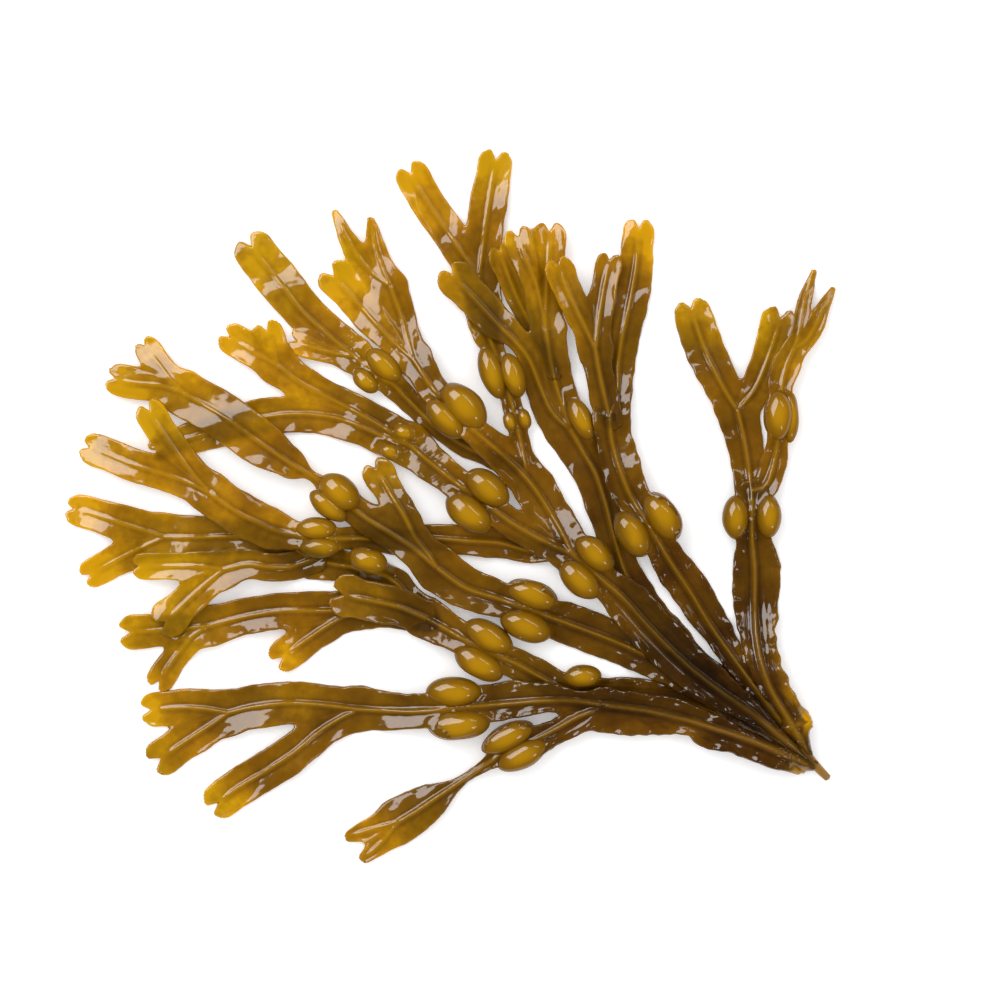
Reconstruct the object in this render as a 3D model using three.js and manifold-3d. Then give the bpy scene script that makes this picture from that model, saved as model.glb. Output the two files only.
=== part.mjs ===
// A cut frond of bladder wrack, lying on a flat surface.
// The frond is a flat blade that forks again and again, with a midrib along the middle of every
// branch and air bladders beside it. It is modelled as branches that leave the stipe in a fan and
// lie over and under each other. Millimetres, +Z up, z = 0 is the surface that it lies on, and the
// origin is on that surface under the middle of the frond.
import * as THREE from "three";
import { mergeVertices } from "three/addons/utils/BufferGeometryUtils.js";
import Module from "manifold-3d";

// Driving dimensions.
const LOW = 0.7;            // height of a blade's middle where it lies on the surface
const MID = 3.7;            // height where it crosses over one blade
const HIGH = 6.4;           // height where it crosses over two
const RIB_HALF = 1.1;       // half the thickness at the midrib
const EDGE_HALF = 0.2;      // height of the edge's top above the blade's middle
const UNDER = 0.7;          // depth of the flat underside below the blade's middle
const GAP = 0.3;            // clearance between two nodes that grew as one
const ROW_STEP = 10;        // spacing of the cross-sections along a blade
const TRACE_STEP = 0.5;     // spacing of the points that a route is measured with
const LENGTH_SAMPLES = 40;  // samples between two points when a route's length is measured
const WELD_DISTANCE = 1e-4; // corners closer than this are one corner
const FORK_CLEAR = 0.5;     // room between two arms where their nodes part
const STACK_CLEAR = 2.5;    // height between the middles of two blades that clear each other
const BLADDER_FLAT = 0.92;  // a bladder's height as a share of its width
const BLADDER_SIDES = 6;    // facets around a bladder
const BLADDER_ROWS = 4;     // facets along it
const ROUND_LENGTH = 0.45;  // length of a blunt tip's rounding as a share of its half width
const ROUND_WIDTH = 0.62;   // width left at the very end of a blunt tip

const COLOURS = {
  stipe: { color: 0x8a6a3c, roughness: 0.45 },
  stem: { color: 0x5c3a10, roughness: 0.35 },
  blade: { color: 0xa87412, roughness: 0.3 },
};

// Each branch is a route of [x, y, z, half width] points, or [x, y, z, left half, right half] where
// the wings differ, seen along its growth. `arms` are short forks at its end that stay in its node,
// `bladders` are [x, y, z, half length, half width, turn in degrees], and `split` is the length of
// the branch that stays with the node it grows from, where that is not simply up to the armpit.
const STIPE = [
  {
    name: "stipe", look: "stipe",
    route: [[113.6, -82.2, 2.4, 1.3], [111, -80, 2.6, 1.5], [108.6, -77.6, 3, 2], [106, -75.4, 3.2, 2]],
  },
];

const BRANCH_A = [
  {
    name: "stem_a", from: "stipe", look: "stem", split: 11,
    route: [
      [109, -78, 3, 1.6], [100, -74.4, 6.2, 3, 1.4], [90, -70.3, HIGH, 4.8, 2.6], [80, -67, 5.4, 5, 4],
      [70, -64, 4.2, 3.6, 5.2], [60, -61.8, MID, 7.4, 5], [47, -60, MID, 8.6, 4.8],
    ],
  },
  {
    name: "blade_a1", from: "stem_a", look: "blade", split: 14,
    route: [
      [47, -60, MID, 5], [38, -63.7, 3.4, 5, 3.2], [32, -67, 3.4, 5, 3], [25, -70.6, 3.7, 4.6, 4],
      [17, -74, 3.7, 4], [10, -78.6, 2.6, 1.8], [2, -84, 1.2, 2], [-4, -88, LOW, 4.8],
      [-10, -92, LOW, 6.4], [-15, -95, LOW, 7],
    ],
    arms: [
      [[-15, -95, LOW, 5.5], [-23, -97.4, LOW, 3.6], [-31.3, -100, LOW, 0.8]],
      [[-15, -95, LOW, 5.5], [-20, -101, LOW, 3.8], [-26.5, -107.5, LOW, 0.8]],
    ],
    bladders: [[17.5, -69.7, 3.7, 8.5, 4, 27], [22, -75, 3.7, 8, 4, 27]],
  },
  {
    name: "blade_a2", from: "stem_a", look: "blade", split: 14,
    route: [
      [47, -60, MID, 7, 4], [38, -58.8, MID, 4.6, 3.2], [30, -58.6, MID, 3.6, 5.4],
      [15, -59.8, MID, 5, 6.5], [0, -61, 3.9, 5], [-12, -62, 2.4, 5.5], [-20, -61.8, LOW, 6],
      [-27, -61.5, LOW, 6.5],
    ],
    bladders: [[1.5, -56, 3.9, 8.2, 4.5, 0], [3, -66, 3.9, 9.2, 4.6, 4]],
  },
  {
    name: "blade_a3", from: "blade_a2", look: "blade",
    route: [
      [-27, -61.5, LOW, 6.5], [-40, -60, LOW, 6.2], [-50, -59.7, LOW, 6.5], [-60, -61, LOW, 6.5],
      [-66, -62.5, LOW, 6.5],
    ],
    arms: [
      [[-66, -62.5, LOW, 6], [-73, -61.4, LOW, 6], [-80, -61, LOW, 5.6], [-92.5, -62, LOW, 3.4]],
      [[-66, -62.5, LOW, 6], [-72, -66.6, LOW, 5], [-80, -71.4, LOW, 4.6], [-89, -78.6, LOW, 3.2]],
    ],
  },
  {
    name: "blade_a4", from: "blade_a2", look: "blade",
    route: [
      [-27, -61.5, LOW, 5.5], [-33, -64.4, LOW, 5.5], [-40, -69, LOW, 5.5], [-46, -74, LOW, 5.8],
      [-55, -80, LOW, 5.8], [-65, -86.2, LOW, 5.5], [-72, -92, LOW, 3.5],
    ],
  },
];

const BRANCH_B = [
  {
    name: "stem_b", from: "stipe", look: "stem", split: 11,
    route: [
      [109, -78, 3, 1.6], [99.5, -72.8, LOW, 1.5], [95, -70.2, LOW, 2], [88, -66, LOW, 3],
      [78, -62, LOW, 4], [66, -59, LOW, 5.5], [55, -58, LOW, 6], [45, -57.6, LOW, 6],
      [38, -56.6, LOW, 5.5], [33, -55, LOW, 5], [27, -51.6, 1.2, 5], [20, -47.6, 2.6, 4.5],
      [10, -43.4, 3.9, 4], [0, -37.8, 3.2, 5.5], [-7, -34, 2.6, 6.5],
    ],
    bladders: [[40, -51.4, 3, 5.6, 3.4, 4], [12, -39.6, 3.9, 8, 4.4, -30], [9, -47.6, 3.9, 8, 4.4, -30]],
  },
  {
    name: "blade_b1", from: "stem_b", look: "blade", split: 12,
    route: [
      [-7, -34, 2.6, 5.5], [-14, -31, 3.8, 5.6], [-20, -29.5, 4.1, 6], [-30, -27.5, 3.9, 5.6],
      [-35.5, -26.3, MID, 4],
    ],
  },
  {
    name: "blade_b2", from: "stem_b", look: "blade", split: 12,
    route: [
      [-7, -34, 2.6, 5], [-12, -28.5, 1.6, 4.5], [-16, -23.6, LOW, 4.2], [-22, -20.4, LOW, 4.2],
      [-30, -18.8, LOW, 4.6], [-41, -16.5, LOW, 6.2],
    ],
    bladders: [[-24, -16.8, 4.4, 6, 3.9, -20]],
  },
  {
    name: "blade_b3", from: "blade_b2", look: "blade",
    route: [
      [-41, -16.5, LOW, 5], [-48, -12.8, LOW, 5.5], [-55, -10.3, LOW, 6], [-65, -9.7, LOW, 6],
      [-75, -10, LOW, 6.4], [-85, -10, LOW, 7.4],
    ],
    arms: [
      [[-85, -10, LOW, 6], [-92, -7.6, LOW, 5.8], [-100, -5, LOW, 5.4], [-108, -2.6, LOW, 4.6],
        [-115, -0.9, LOW, 2.8]],
      [[-85, -10, LOW, 6], [-91, -12.6, LOW, 5.2], [-98, -16, LOW, 5], [-110, -22.6, LOW, 3]],
    ],
  },
  {
    name: "blade_b4", from: "blade_b2", look: "blade",
    route: [
      [-41, -16.5, LOW, 4.6], [-47, -18.6, 1.8, 4.4], [-53, -18.8, 3.2, 4.2], [-60, -18, MID, 4.6],
      [-67, -19.5, MID, 5.5],
    ],
    arms: [
      [[-67, -19.5, MID, 4.6], [-74, -18.6, MID, 4.5], [-82, -18.6, MID, 4.2], [-95, -18.6, MID, 2.8]],
      [[-67, -19.5, MID, 4.6], [-72, -23.4, MID, 5], [-78, -28.8, MID, 5], [-83, -33.6, MID, 5],
        [-87.5, -37.2, MID, 3.8]],
    ],
  },
  {
    name: "blade_b5", from: "stem_b", look: "blade", split: 12,
    route: [
      [-6, -35, 2.6, 4], [-16, -33.4, LOW, 4], [-28, -32, LOW, 5.8], [-40, -32, LOW, 5.8],
      [-50, -32, LOW, 5.5], [-60, -33.5, LOW, 5.5], [-72, -36.5, LOW, 6],
    ],
    arms: [
      [[-72, -36.5, LOW, 5.4], [-80, -37.2, LOW, 5], [-90, -38, LOW, 5], [-99, -38.6, LOW, 3.6]],
      [[-72, -36.5, LOW, 5], [-77, -39.8, LOW, 4.4], [-81, -44.4, LOW, 4], [-85, -50, LOW, 3.8],
        [-88.5, -55.6, LOW, 2.8]],
    ],
  },
  {
    name: "blade_b6", from: "blade_b5", look: "blade",
    route: [
      [-28, -32, LOW, 4.6], [-34, -35, LOW, 4.8], [-40, -38.8, LOW, 4.8], [-46, -43, LOW, 4.8],
      [-52.5, -48, LOW, 3.2],
    ],
  },
];

const BRANCH_C = [
  {
    name: "stem_c", from: "stipe", look: "stem", split: 11,
    route: [
      [108, -77, 3, 1.6], [99, -70.9, 3.5, 1.7], [94, -67.2, 3.6, 2.2], [90, -64, 3.6, 3.2],
      [80, -56.8, 3.6, 5], [73, -51.8, 3.5, 6], [67, -48.5, 3.2, 6.2, 5],
      [60, -45.5, 2.2, 6.2, 4.4], [50, -41.2, LOW, 6.4, 5.6], [40, -37.4, LOW, 6.4],
      [33, -34.8, 1.8, 6], [25, -31.8, MID, 4.5], [15, -28.3, MID, 5.5], [5, -25, 3.9, 6.4],
      [-3, -19.5, 3.9, 7],
    ],
    bladders: [[25, -27, 3.9, 8, 4.3, -20], [23, -36.5, 3.9, 8, 4.5, -20]],
  },
  {
    name: "blade_c1", from: "stem_c", look: "blade",
    route: [
      [-3, -19.5, 3.9, 6], [-6.5, -14.5, 4, 4.8], [-10, -10, 4, 4.5], [-13, -4, MID, 4.3],
      [-17, 2.5, 3.5, 4.3], [-20.5, 8.5, MID, 4.2], [-23.4, 13, MID, 3],
    ],
  },
  {
    name: "blade_c2", from: "stem_c", look: "blade",
    route: [
      [-3, -19.5, 3.9, 6], [-10, -13.6, 3.9, 5], [-17, -9, 3.9, 4.8], [-25, -4, 4, 4.8],
      [-31, 0.6, 4.2, 4.4], [-36, 4.6, 4.2, 3.4], [-41, 8.5, 3.9, 1.7], [-47, 12, MID, 4],
    ],
    bladders: [[-32.6, 3.6, 4.3, 7, 4.8, -38], [-36, -0.6, 4.3, 6.6, 3.4, -38]],
  },
  {
    name: "blade_c3", from: "blade_c2", look: "blade", split: 2,
    route: [
      [-47, 12, MID, 4], [-53, 16, MID, 6.4], [-60, 21, MID, 7], [-67, 26, MID, 7],
      [-79, 33, 3.5, 7],
    ],
    arms: [
      [[-79, 33, 3.5, 5], [-84, 38.6, 2.6, 4], [-88, 43.6, 1.6, 3.6], [-92.6, 49.2, LOW, 2.6]],
      [[-79, 33, 3.5, 5], [-86, 35.3, 3, 5], [-95, 36.3, 2.6, 4.6], [-102.5, 38.2, 2.2, 3.2]],
    ],
  },
];

const BRANCH_D = [
  {
    name: "stem_d", from: "stipe", look: "stem", split: 11,
    route: [
      [108, -77, 3, 1.6], [99.5, -69.8, 6.2, 1.5, 1.6], [90, -62, HIGH, 3.2, 3.6], [80, -55, HIGH, 5.4],
      [70, -47, 5.2, 6.4], [60, -37, 4, 6.8], [52, -28, 4, 6.4], [46, -22.8, 4.3, 5], [37, -15, 4.3, 6],
    ],
    bladders: [[43.6, -14.8, 4.4, 7, 4.3, -42], [39, -22.6, 4.4, 7.4, 4.4, -42]],
  },
  {
    name: "blade_d1", from: "stem_d", look: "blade",
    route: [
      [37, -15, 4.3, 5], [30, -11.8, 4.1, 5], [20, -6.3, 4.3, 4.5], [11.5, -0.4, 4.9, 4],
      [2, 6.5, 4, 4.8], [-5, 12, 2.8, 5.5], [-11.5, 17.5, 1.6, 6.5],
    ],
    bladders: [
      [11.6, 4.8, 4.9, 7.5, 4.7, -38], [6, -2.7, 4.9, 8, 4.9, -38],
      [-13.4, 21.4, 2.6, 3.4, 2.6, -30], [-17.6, 15.6, 2.6, 3.4, 2.4, -30],
    ],
  },
  {
    name: "blade_d2", from: "blade_d1", look: "blade",
    route: [
      [-11.5, 17.5, 1.6, 5.6], [-20, 20.4, LOW, 5.6], [-26, 23, LOW, 5.6], [-33, 25.6, LOW, 5.8],
      [-45, 27, LOW, 5.6, 5], [-55, 26, LOW, 5.8], [-70, 22, LOW, 5.4], [-80, 19, LOW, 4.5],
      [-90, 15, LOW, 3],
    ],
  },
  {
    name: "blade_d3", from: "blade_d1", look: "blade",
    route: [
      [-11.5, 17.5, 1.6, 5.6], [-20, 23.2, LOW, 5.4], [-30, 28.8, LOW, 5], [-37, 32.4, LOW, 4.8],
      [-45, 36.8, LOW, 5.2], [-51, 41.4, LOW, 6],
    ],
    arms: [
      [[-51, 41.4, LOW, 5], [-56, 44.2, LOW, 4.8], [-62, 47.6, LOW, 4.4], [-68, 51.8, LOW, 3]],
      [[-51, 41.4, LOW, 4.6], [-52.6, 46.8, 2.6, 4.4], [-55.4, 54.6, 3.6, 3]],
    ],
  },
  {
    name: "blade_d4", from: "stem_d", look: "blade", split: 9,
    route: [
      [33, -13.4, 4, 3.6], [25, -14, 0.9, 3.8], [15, -11.6, LOW, 4.6], [5, -11, LOW, 4.6],
      [-5, -10.4, LOW, 4.5], [-15, -11, LOW, 4.5], [-25, -10.4, LOW, 3.6, 4.3], [-32, -10.3, 2.8, 3.4],
      [-39, -10.2, 5, 3.4], [-46, -9.3, 4.5, 4.5], [-53, -7.4, 3.9, 5.8],
    ],
    bladders: [[-39.4, -7.3, 5, 6, 3.4, 0], [-38.4, -13, 5, 6, 3.2, 0]],
  },
  {
    name: "blade_d5", from: "blade_d4", look: "blade", split: 2,
    route: [
      [-53, -7.4, 3.9, 5.8], [-60, -4, MID, 6.4], [-66, -0.5, 3.8, 6.4], [-71, 3.2, 4.4, 6.4],
    ],
    arms: [
      [[-71, 3.2, 4.4, 5], [-76, 8.6, 5.8, 4.8], [-80, 14, HIGH, 4.5], [-85, 21, HIGH, 4.5],
        [-90.6, 30.4, 6.2, 3]],
      [[-71, 3.2, 4.4, 5], [-78, 6.5, 4.2, 5.2], [-85, 9, 4, 5], [-95, 12, 3.5, 5], [-103, 15.2, 2, 4.6],
        [-110.4, 17.8, LOW, 3]],
    ],
  },
];

const BRANCH_E = [
  {
    name: "blade_e1", from: "stem_d", look: "blade",
    route: [
      [37, -15, 4.3, 5.6], [33.5, -8, 3.6, 5.8], [30, -2, 2.6, 5.8], [25, 5.5, 2.4, 6.4], [20, 11, 3, 5.6],
      [13, 17.3, 4.6, 4.8], [7, 22.5, 6, 4], [2, 27.4, HIGH, 3.8], [-5, 34.8, 4.8, 4.4],
      [-10.5, 43, 3.4, 4.4, 6],
    ],
    bladders: [[4.6, 29.2, HIGH, 8.4, 5.2, -46], [-1, 25.3, HIGH, 7.4, 3.9, -46]],
  },
  {
    name: "blade_e2", from: "blade_e1", look: "blade",
    route: [
      [-10.5, 43, 3.4, 4], [-15, 47, 2.6, 3.4], [-20, 51.5, 1.6, 3.8], [-28, 60, LOW, 4.5],
      [-37.5, 70.6, LOW, 3.2],
    ],
  },
  {
    name: "blade_e3", from: "blade_e1", look: "blade",
    route: [
      [-10.5, 43, 3.4, 4.6], [-12.5, 50, 2, 4.2], [-14.5, 57, LOW, 4.4], [-17.5, 65, LOW, 5],
    ],
    arms: [
      [[-17.5, 65, LOW, 4], [-20, 71, LOW, 3.6], [-22, 77, LOW, 3], [-23.5, 86, LOW, 0.9]],
      [[-17.5, 65, LOW, 4], [-23, 69.4, LOW, 3.8], [-28.4, 76, LOW, 3.3], [-34.5, 88, LOW, 0.9]],
    ],
  },
  {
    name: "blade_e4", from: "blade_e1", look: "blade", split: 9,
    route: [
      [19.4, 11.4, 3, 3.6], [11, 14.6, 0.9, 3.2], [4, 17.8, LOW, 3.2], [-4, 23.5, LOW, 3.2],
      [-11, 30, LOW, 3.4],
      [-16, 35, 2.2, 4], [-22, 39.4, 3.5, 4], [-28, 44, 2, 5.4],
    ],
    arms: [[[-28, 44, 2, 3.4], [-34, 45.2, 0.9, 3.6], [-41, 47, LOW, 3.6], [-48, 49.8, LOW, 2.6]]],
    bladders: [[-19.3, 41.4, 3.7, 6.6, 3.6, -42], [-24.8, 36.8, 3.4, 4.6, 3, -42]],
  },
  {
    name: "blade_e5", from: "blade_e4", look: "blade",
    route: [
      [-28, 44, 2, 4, 5.4], [-35, 49.8, LOW, 4.2, 6], [-43, 56.8, LOW, 5.4, 6.2], [-50, 65.5, LOW, 6.4],
      [-56, 73, LOW, 6], [-61.4, 80.2, LOW, 3.8],
    ],
  },
  {
    name: "blade_e6", from: "blade_e1", look: "blade", split: 11,
    route: [
      [23.2, 8, 2.8, 3.6], [22.8, 12, 2.4, 3.4], [22, 16, 2, 3], [20.9, 21, 2, 2.8], [19.6, 27, 3, 3],
      [17.6, 34, 4.2, 3], [15.8, 40, 4, 3], [13.6, 46, 1.4, 3.4], [11.6, 52, LOW, 5], [10, 60, LOW, 6],
      [9, 68, LOW, 6.4],
    ],
    bladders: [
      [12.8, 39.2, 4.4, 8, 3.6, -72], [19.2, 38.4, 4.4, 6.8, 3.6, -72],
      [18.2, 24.6, 3, 3, 2, -75], [22.6, 25.4, 3, 3.2, 2, -75],
    ],
  },
  {
    name: "blade_e7", from: "blade_e6", look: "blade",
    route: [
      [9, 68, LOW, 5.4], [4.4, 74.6, LOW, 5.2], [0, 81, LOW, 5], [-8, 93, LOW, 5], [-13, 102, LOW, 3.4],
    ],
  },
  {
    name: "blade_e8", from: "blade_e6", look: "blade",
    route: [
      [9, 68, LOW, 5.4], [10, 76, LOW, 5.4], [11, 84, LOW, 5.5], [12.5, 94, LOW, 5.5],
      [14.5, 106.4, LOW, 3.4],
    ],
  },
];

const BRANCH_R = [
  {
    name: "stem_r", from: "stipe", look: "stem", split: 11,
    route: [
      [108, -76.5, 3, 1.6], [100.5, -69, LOW, 1.5], [97, -65.4, LOW, 1.9], [92, -60.5, LOW, 3],
      [83, -53.8, LOW, 4.5, 3.6], [75, -48, LOW, 5.4, 4.2], [66, -39.5, LOW, 5, 5.4],
      [58, -30, LOW, 5, 5.4], [52.5, -20, LOW, 4.4, 5], [49, -8, LOW, 5, 4.6],
    ],
  },
  {
    name: "blade_r1", from: "stem_r", look: "blade", split: 2,
    route: [
      [49, -8, LOW, 5, 4.6], [47, 0, LOW, 6.2, 5], [44, 9, LOW, 6.6, 5.4], [40, 16, LOW, 7],
      [36.5, 22, LOW, 7.6],
    ],
    bladders: [[39.6, 25.4, 3.1, 6.8, 3.4, -65]],
  },
  {
    name: "blade_r2", from: "blade_r1", look: "blade", split: 33,
    route: [
      [36.5, 22, LOW, 6], [31, 27.5, LOW, 5.6], [27.4, 35, LOW, 4.6, 5], [23.8, 43.5, 1.6, 2.8, 5],
      [19.4, 49, 3.6, 2.8, 4.6], [15, 53.4, MID, 4.8, 5.2], [8, 61, MID, 5.2], [2, 67.6, MID, 4.8],
      [-0.8, 71.2, MID, 3.4],
    ],
  },
  {
    name: "blade_r3", from: "blade_r1", look: "blade", split: 29,
    route: [
      [36.5, 22, LOW, 6], [34.2, 29, LOW, 5.4], [32, 36, LOW, 5.4], [30.2, 44, 2.8, 4.4, 5.6],
      [29, 52, MID, 3.8, 6],
    ],
    arms: [
      [[29, 52, MID, 3.8, 5], [29, 60, MID, 5], [29.5, 68, 3.6, 5], [30, 77, 2.8, 4.6],
        [30, 84.6, 2.2, 3.2]],
      [[29, 52, MID, 3.8, 5], [28, 58, 4.6, 4.5], [26, 66, 6, 4.2], [22.6, 74, 6, 4.4],
        [19.8, 82.4, 5.4, 3]],
    ],
  },
  {
    name: "blade_r4", from: "blade_r1", look: "blade", split: 11,
    route: [
      [31.4, 40, LOW, 3], [27, 49, LOW, 2.8], [24, 55, LOW, 3.2], [21.4, 60, LOW, 3.4],
      [18.8, 66, 2.6, 3.6], [16.2, 73, MID, 3.4], [14.4, 77.4, 3.6, 2.2],
    ],
  },
];

const BRANCH_S = [
  {
    name: "stem_s", from: "stipe", look: "stem", split: 10,
    route: [
      [107.5, -76, 3, 1.6], [101.8, -68.3, 3.5, 1.5], [98.4, -63.8, 3.6, 1.8], [95, -59.4, 3.6, 2.6],
      [90, -52.8, 3.3, 3.4], [85, -46, 2.2, 3.6, 4.2], [78, -36, LOW, 4.2, 6], [72, -26, LOW, 5.6, 6.4],
      [66, -17, 3.2, 5.4],
      [59.6, -6.4, 5.6, 4.5], [54, 3, 4, 5.4, 6], [50.5, 12, MID, 5.4, 6.6], [48.5, 20, MID, 4.6, 6.4],
      [48, 26, MID, 4.4, 6],
    ],
    bladders: [[63.8, -3.6, 5.6, 8, 4.8, -58], [54.6, -9, 5.8, 7.5, 4.6, -58]],
  },
  {
    name: "blade_s1", from: "stem_s", look: "blade", split: 10,
    route: [[48, 26, MID, 4.4], [46.3, 33, MID, 4.4], [44.8, 40, MID, 4.2], [43.8, 46, MID, 5]],
    arms: [
      [[43.8, 46, MID, 4.4], [44.6, 54, 3.4, 4.2], [46, 63, 3.4, 4], [48.4, 75.2, 3.4, 2.8]],
      [[43.8, 46, MID, 4.4], [41, 52, 4.6, 4.2], [37.8, 58.5, 6, 4.1], [33.8, 67.5, HIGH, 4],
        [31.8, 73.6, 6.2, 2.6]],
    ],
  },
  {
    name: "blade_s2", from: "stem_s", look: "blade", split: 10,
    route: [
      [48, 26, MID, 5], [50.2, 33, 1.2, 4.6], [50.6, 42, LOW, 5.2], [51.8, 50, LOW, 5.5],
      [54, 60, LOW, 5.5], [56, 71, LOW, 5.3], [57, 85.6, LOW, 3.2],
    ],
  },
];

const BRANCH_T = [
  {
    name: "stem_t", from: "stipe", look: "stem", split: 10,
    route: [
      [107.5, -76, 3, 1.6], [103.6, -68, 6, 1.5, 3], [99.6, -61.5, 6.3, 2, 4.6], [96, -55.5, HIGH, 2.8, 5],
      [93.2, -48, 5.6, 4.4, 5.6], [91.8, -40, 3.4, 4.8, 6.2], [91.5, -30, LOW, 6.2, 7],
      [91.5, -20, LOW, 6.4, 8], [90.7, -11, 2.2, 5, 6], [90.5, -3.5, MID, 4], [90.5, 4, 2.6, 5],
    ],
    bladders: [[85.6, -4, 3.7, 6.5, 3.9, 90], [95.6, -3.6, 3.7, 6.5, 3.7, 90]],
  },
  {
    name: "blade_t1", from: "stem_t", look: "blade",
    route: [[90.5, 4, 2.6, 4.6], [89.6, 12, 0.9, 5.2], [88.4, 20, LOW, 5.6], [86.5, 28, LOW, 6.6]],
  },
  {
    name: "blade_t2", from: "blade_t1", look: "blade",
    route: [
      [86.5, 28, LOW, 5.6], [81.8, 35.5, LOW, 5.5], [77.6, 44, LOW, 5.8], [74.6, 52, LOW, 5.8],
      [71.6, 61.6, LOW, 3.6],
    ],
  },
  {
    name: "blade_t3", from: "blade_t1", look: "blade",
    route: [
      [86.5, 28, LOW, 5], [91.2, 33.8, LOW, 5], [95, 42, LOW, 5], [98, 51, LOW, 5.4], [100, 59, LOW, 3.6],
    ],
  },
  {
    name: "blade_t4", from: "stem_t", look: "blade",
    route: [
      [90.5, 4, 2.6, 3.6], [94.8, 7.6, 2, 3.4], [97.2, 13, 2, 3.2], [98.2, 19, 3, 3.2],
      [98.6, 26.5, 4.4, 3.4], [99.6, 36, 3.8, 4.2, 3.4], [100.8, 42, 3.8, 4.6, 4.4],
      [103, 47.4, 3.6, 2.6, 4.2], [105.8, 53, 3, 1.6, 3.6],
    ],
    arms: [
      [[105.8, 53, 3, 2], [108, 60, 1.6, 2.6], [109.8, 70.4, LOW, 0.8]],
      [[105.8, 53, 3, 2], [110.4, 58.6, 1.6, 2.4], [115.4, 65.4, LOW, 0.8]],
    ],
    bladders: [[98.2, 26.5, 4.4, 7.4, 4.3, 90], [102, 26, 3.4, 7.6, 2.6, 90]],
  },
];

const FROND = [
  ...STIPE, ...BRANCH_A, ...BRANCH_B, ...BRANCH_C, ...BRANCH_D, ...BRANCH_E, ...BRANCH_R, ...BRANCH_S,
  ...BRANCH_T,
];

// A route becomes evenly spaced stations along a smooth curve: place, half widths and distance.
function traceRoute(points) {
  const curve = new THREE.CatmullRomCurve3(points.map(([x, y, z]) => new THREE.Vector3(x, y, z)));
  curve.arcLengthDivisions = LENGTH_SAMPLES * points.length;
  const length = curve.getLength();
  const count = Math.max(2, Math.round(length / TRACE_STEP));
  const stations = [];
  for (let i = 0; i <= count; i += 1) {
    const t = curve.getUtoTmapping(i / count);
    stations.push({ distance: (length * i) / count, place: curve.getPoint(t), ...widthsAt(points, t) });
  }
  return { curve, length, stations };
}

function widthsAt(points, t) {
  const span = t * (points.length - 1);
  const low = Math.min(Math.floor(span), points.length - 2);
  const share = span - low;
  const mix = (pick) => pick(points[low]) * (1 - share) + pick(points[low + 1]) * share;
  return { left: mix((point) => point[3]), right: mix((point) => point[4] ?? point[3]) };
}

// One cross-section: flat underneath and raised at the midrib. No corner goes below the surface.
function section(trace, distance, shrink) {
  const u = Math.min(distance / trace.length, 1);
  const index = Math.round(u * (trace.stations.length - 1));
  const { left, right } = trace.stations[index];
  const place = trace.curve.getPointAt(u);
  const along = trace.curve.getTangentAt(u);
  const side = new THREE.Vector3(-along.y, along.x, 0).normalize();
  const up = new THREE.Vector3().crossVectors(along, side).normalize();
  const corner = (across, height) => {
    const point = place.clone().addScaledVector(side, across * shrink).addScaledVector(up, height);
    return point.setZ(Math.max(point.z, 0));
  };
  return [
    corner(left, -UNDER), corner(-right, -UNDER), corner(-right, EDGE_HALF), corner(0, RIB_HALF),
    corner(left, EDGE_HALF),
  ];
}

// A blade from one distance along its route to another, with blunt rounding at a free tip.
function ribbon(trace, start, end, freeTip) {
  const rounding = freeTip ? ROUND_LENGTH * trace.stations.at(-1).left : 0;
  const steps = Math.max(1, Math.ceil((end - start - rounding) / ROW_STEP));
  const rows = [];
  for (let i = 0; i <= steps; i += 1) {
    rows.push(section(trace, start + ((end - rounding - start) * i) / steps, 1));
  }
  if (freeTip) rows.push(section(trace, end, ROUND_WIDTH));
  return solid(stitchRows(rows));
}

function stitchRows(rows) {
  const ring = rows[0].length;
  const last = (rows.length - 1) * ring;
  const indices = [];
  for (let row = 0; row < rows.length - 1; row += 1) {
    for (let k = 0; k < ring; k += 1) {
      const a = row * ring + k;
      const b = row * ring + ((k + 1) % ring);
      indices.push(a, a + ring, b, b, a + ring, b + ring);
    }
  }
  for (let k = 1; k < ring - 1; k += 1) {
    indices.push(0, k, k + 1, last, last + k + 1, last + k);
  }
  const geometry = new THREE.BufferGeometry().setFromPoints(rows.flat());
  geometry.setIndex(indices);
  return geometry;
}

function bladder([x, y, z, halfLength, halfWidth, turn]) {
  const geometry = new THREE.SphereGeometry(1, BLADDER_SIDES, BLADDER_ROWS);
  geometry.rotateZ(Math.PI / 2);
  geometry.scale(halfLength, halfWidth, halfWidth * BLADDER_FLAT);
  geometry.rotateZ(THREE.MathUtils.degToRad(turn));
  geometry.translate(x, y, z);
  return solid(geometry);
}

const wasm = await Module();
wasm.setup();

function solid(geometry) {
  geometry.deleteAttribute("normal");
  geometry.deleteAttribute("uv");
  const welded = mergeVertices(geometry, WELD_DISTANCE);
  return new wasm.Manifold(new wasm.Mesh({
    numProp: 3,
    vertProperties: new Float32Array(welded.attributes.position.array),
    triVerts: new Uint32Array(welded.index.array),
  }));
}

function geometryOf(manifold) {
  const mesh = manifold.getMesh();
  const geometry = new THREE.BufferGeometry();
  geometry.setAttribute("position", new THREE.BufferAttribute(mesh.vertProperties, 3));
  geometry.setIndex(new THREE.BufferAttribute(mesh.triVerts, 1));
  geometry.computeVertexNormals();
  return geometry;
}

// The armpit is where an arm has parted from every other arm of its fork, sideways or in height.
function clearOf(station, other) {
  const reach = Math.max(station.left, station.right) + FORK_CLEAR;
  return other.stations.every(({ place, left, right }) => {
    const apart = Math.hypot(place.x - station.place.x, place.y - station.place.y);
    return apart > reach + Math.max(left, right) || Math.abs(place.z - station.place.z) > STACK_CLEAR;
  });
}

function armpit(trace, others) {
  const station = trace.stations.find((candidate) => others.every((other) => clearOf(candidate, other)));
  return station ? station.distance : trace.length / 2;
}

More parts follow.
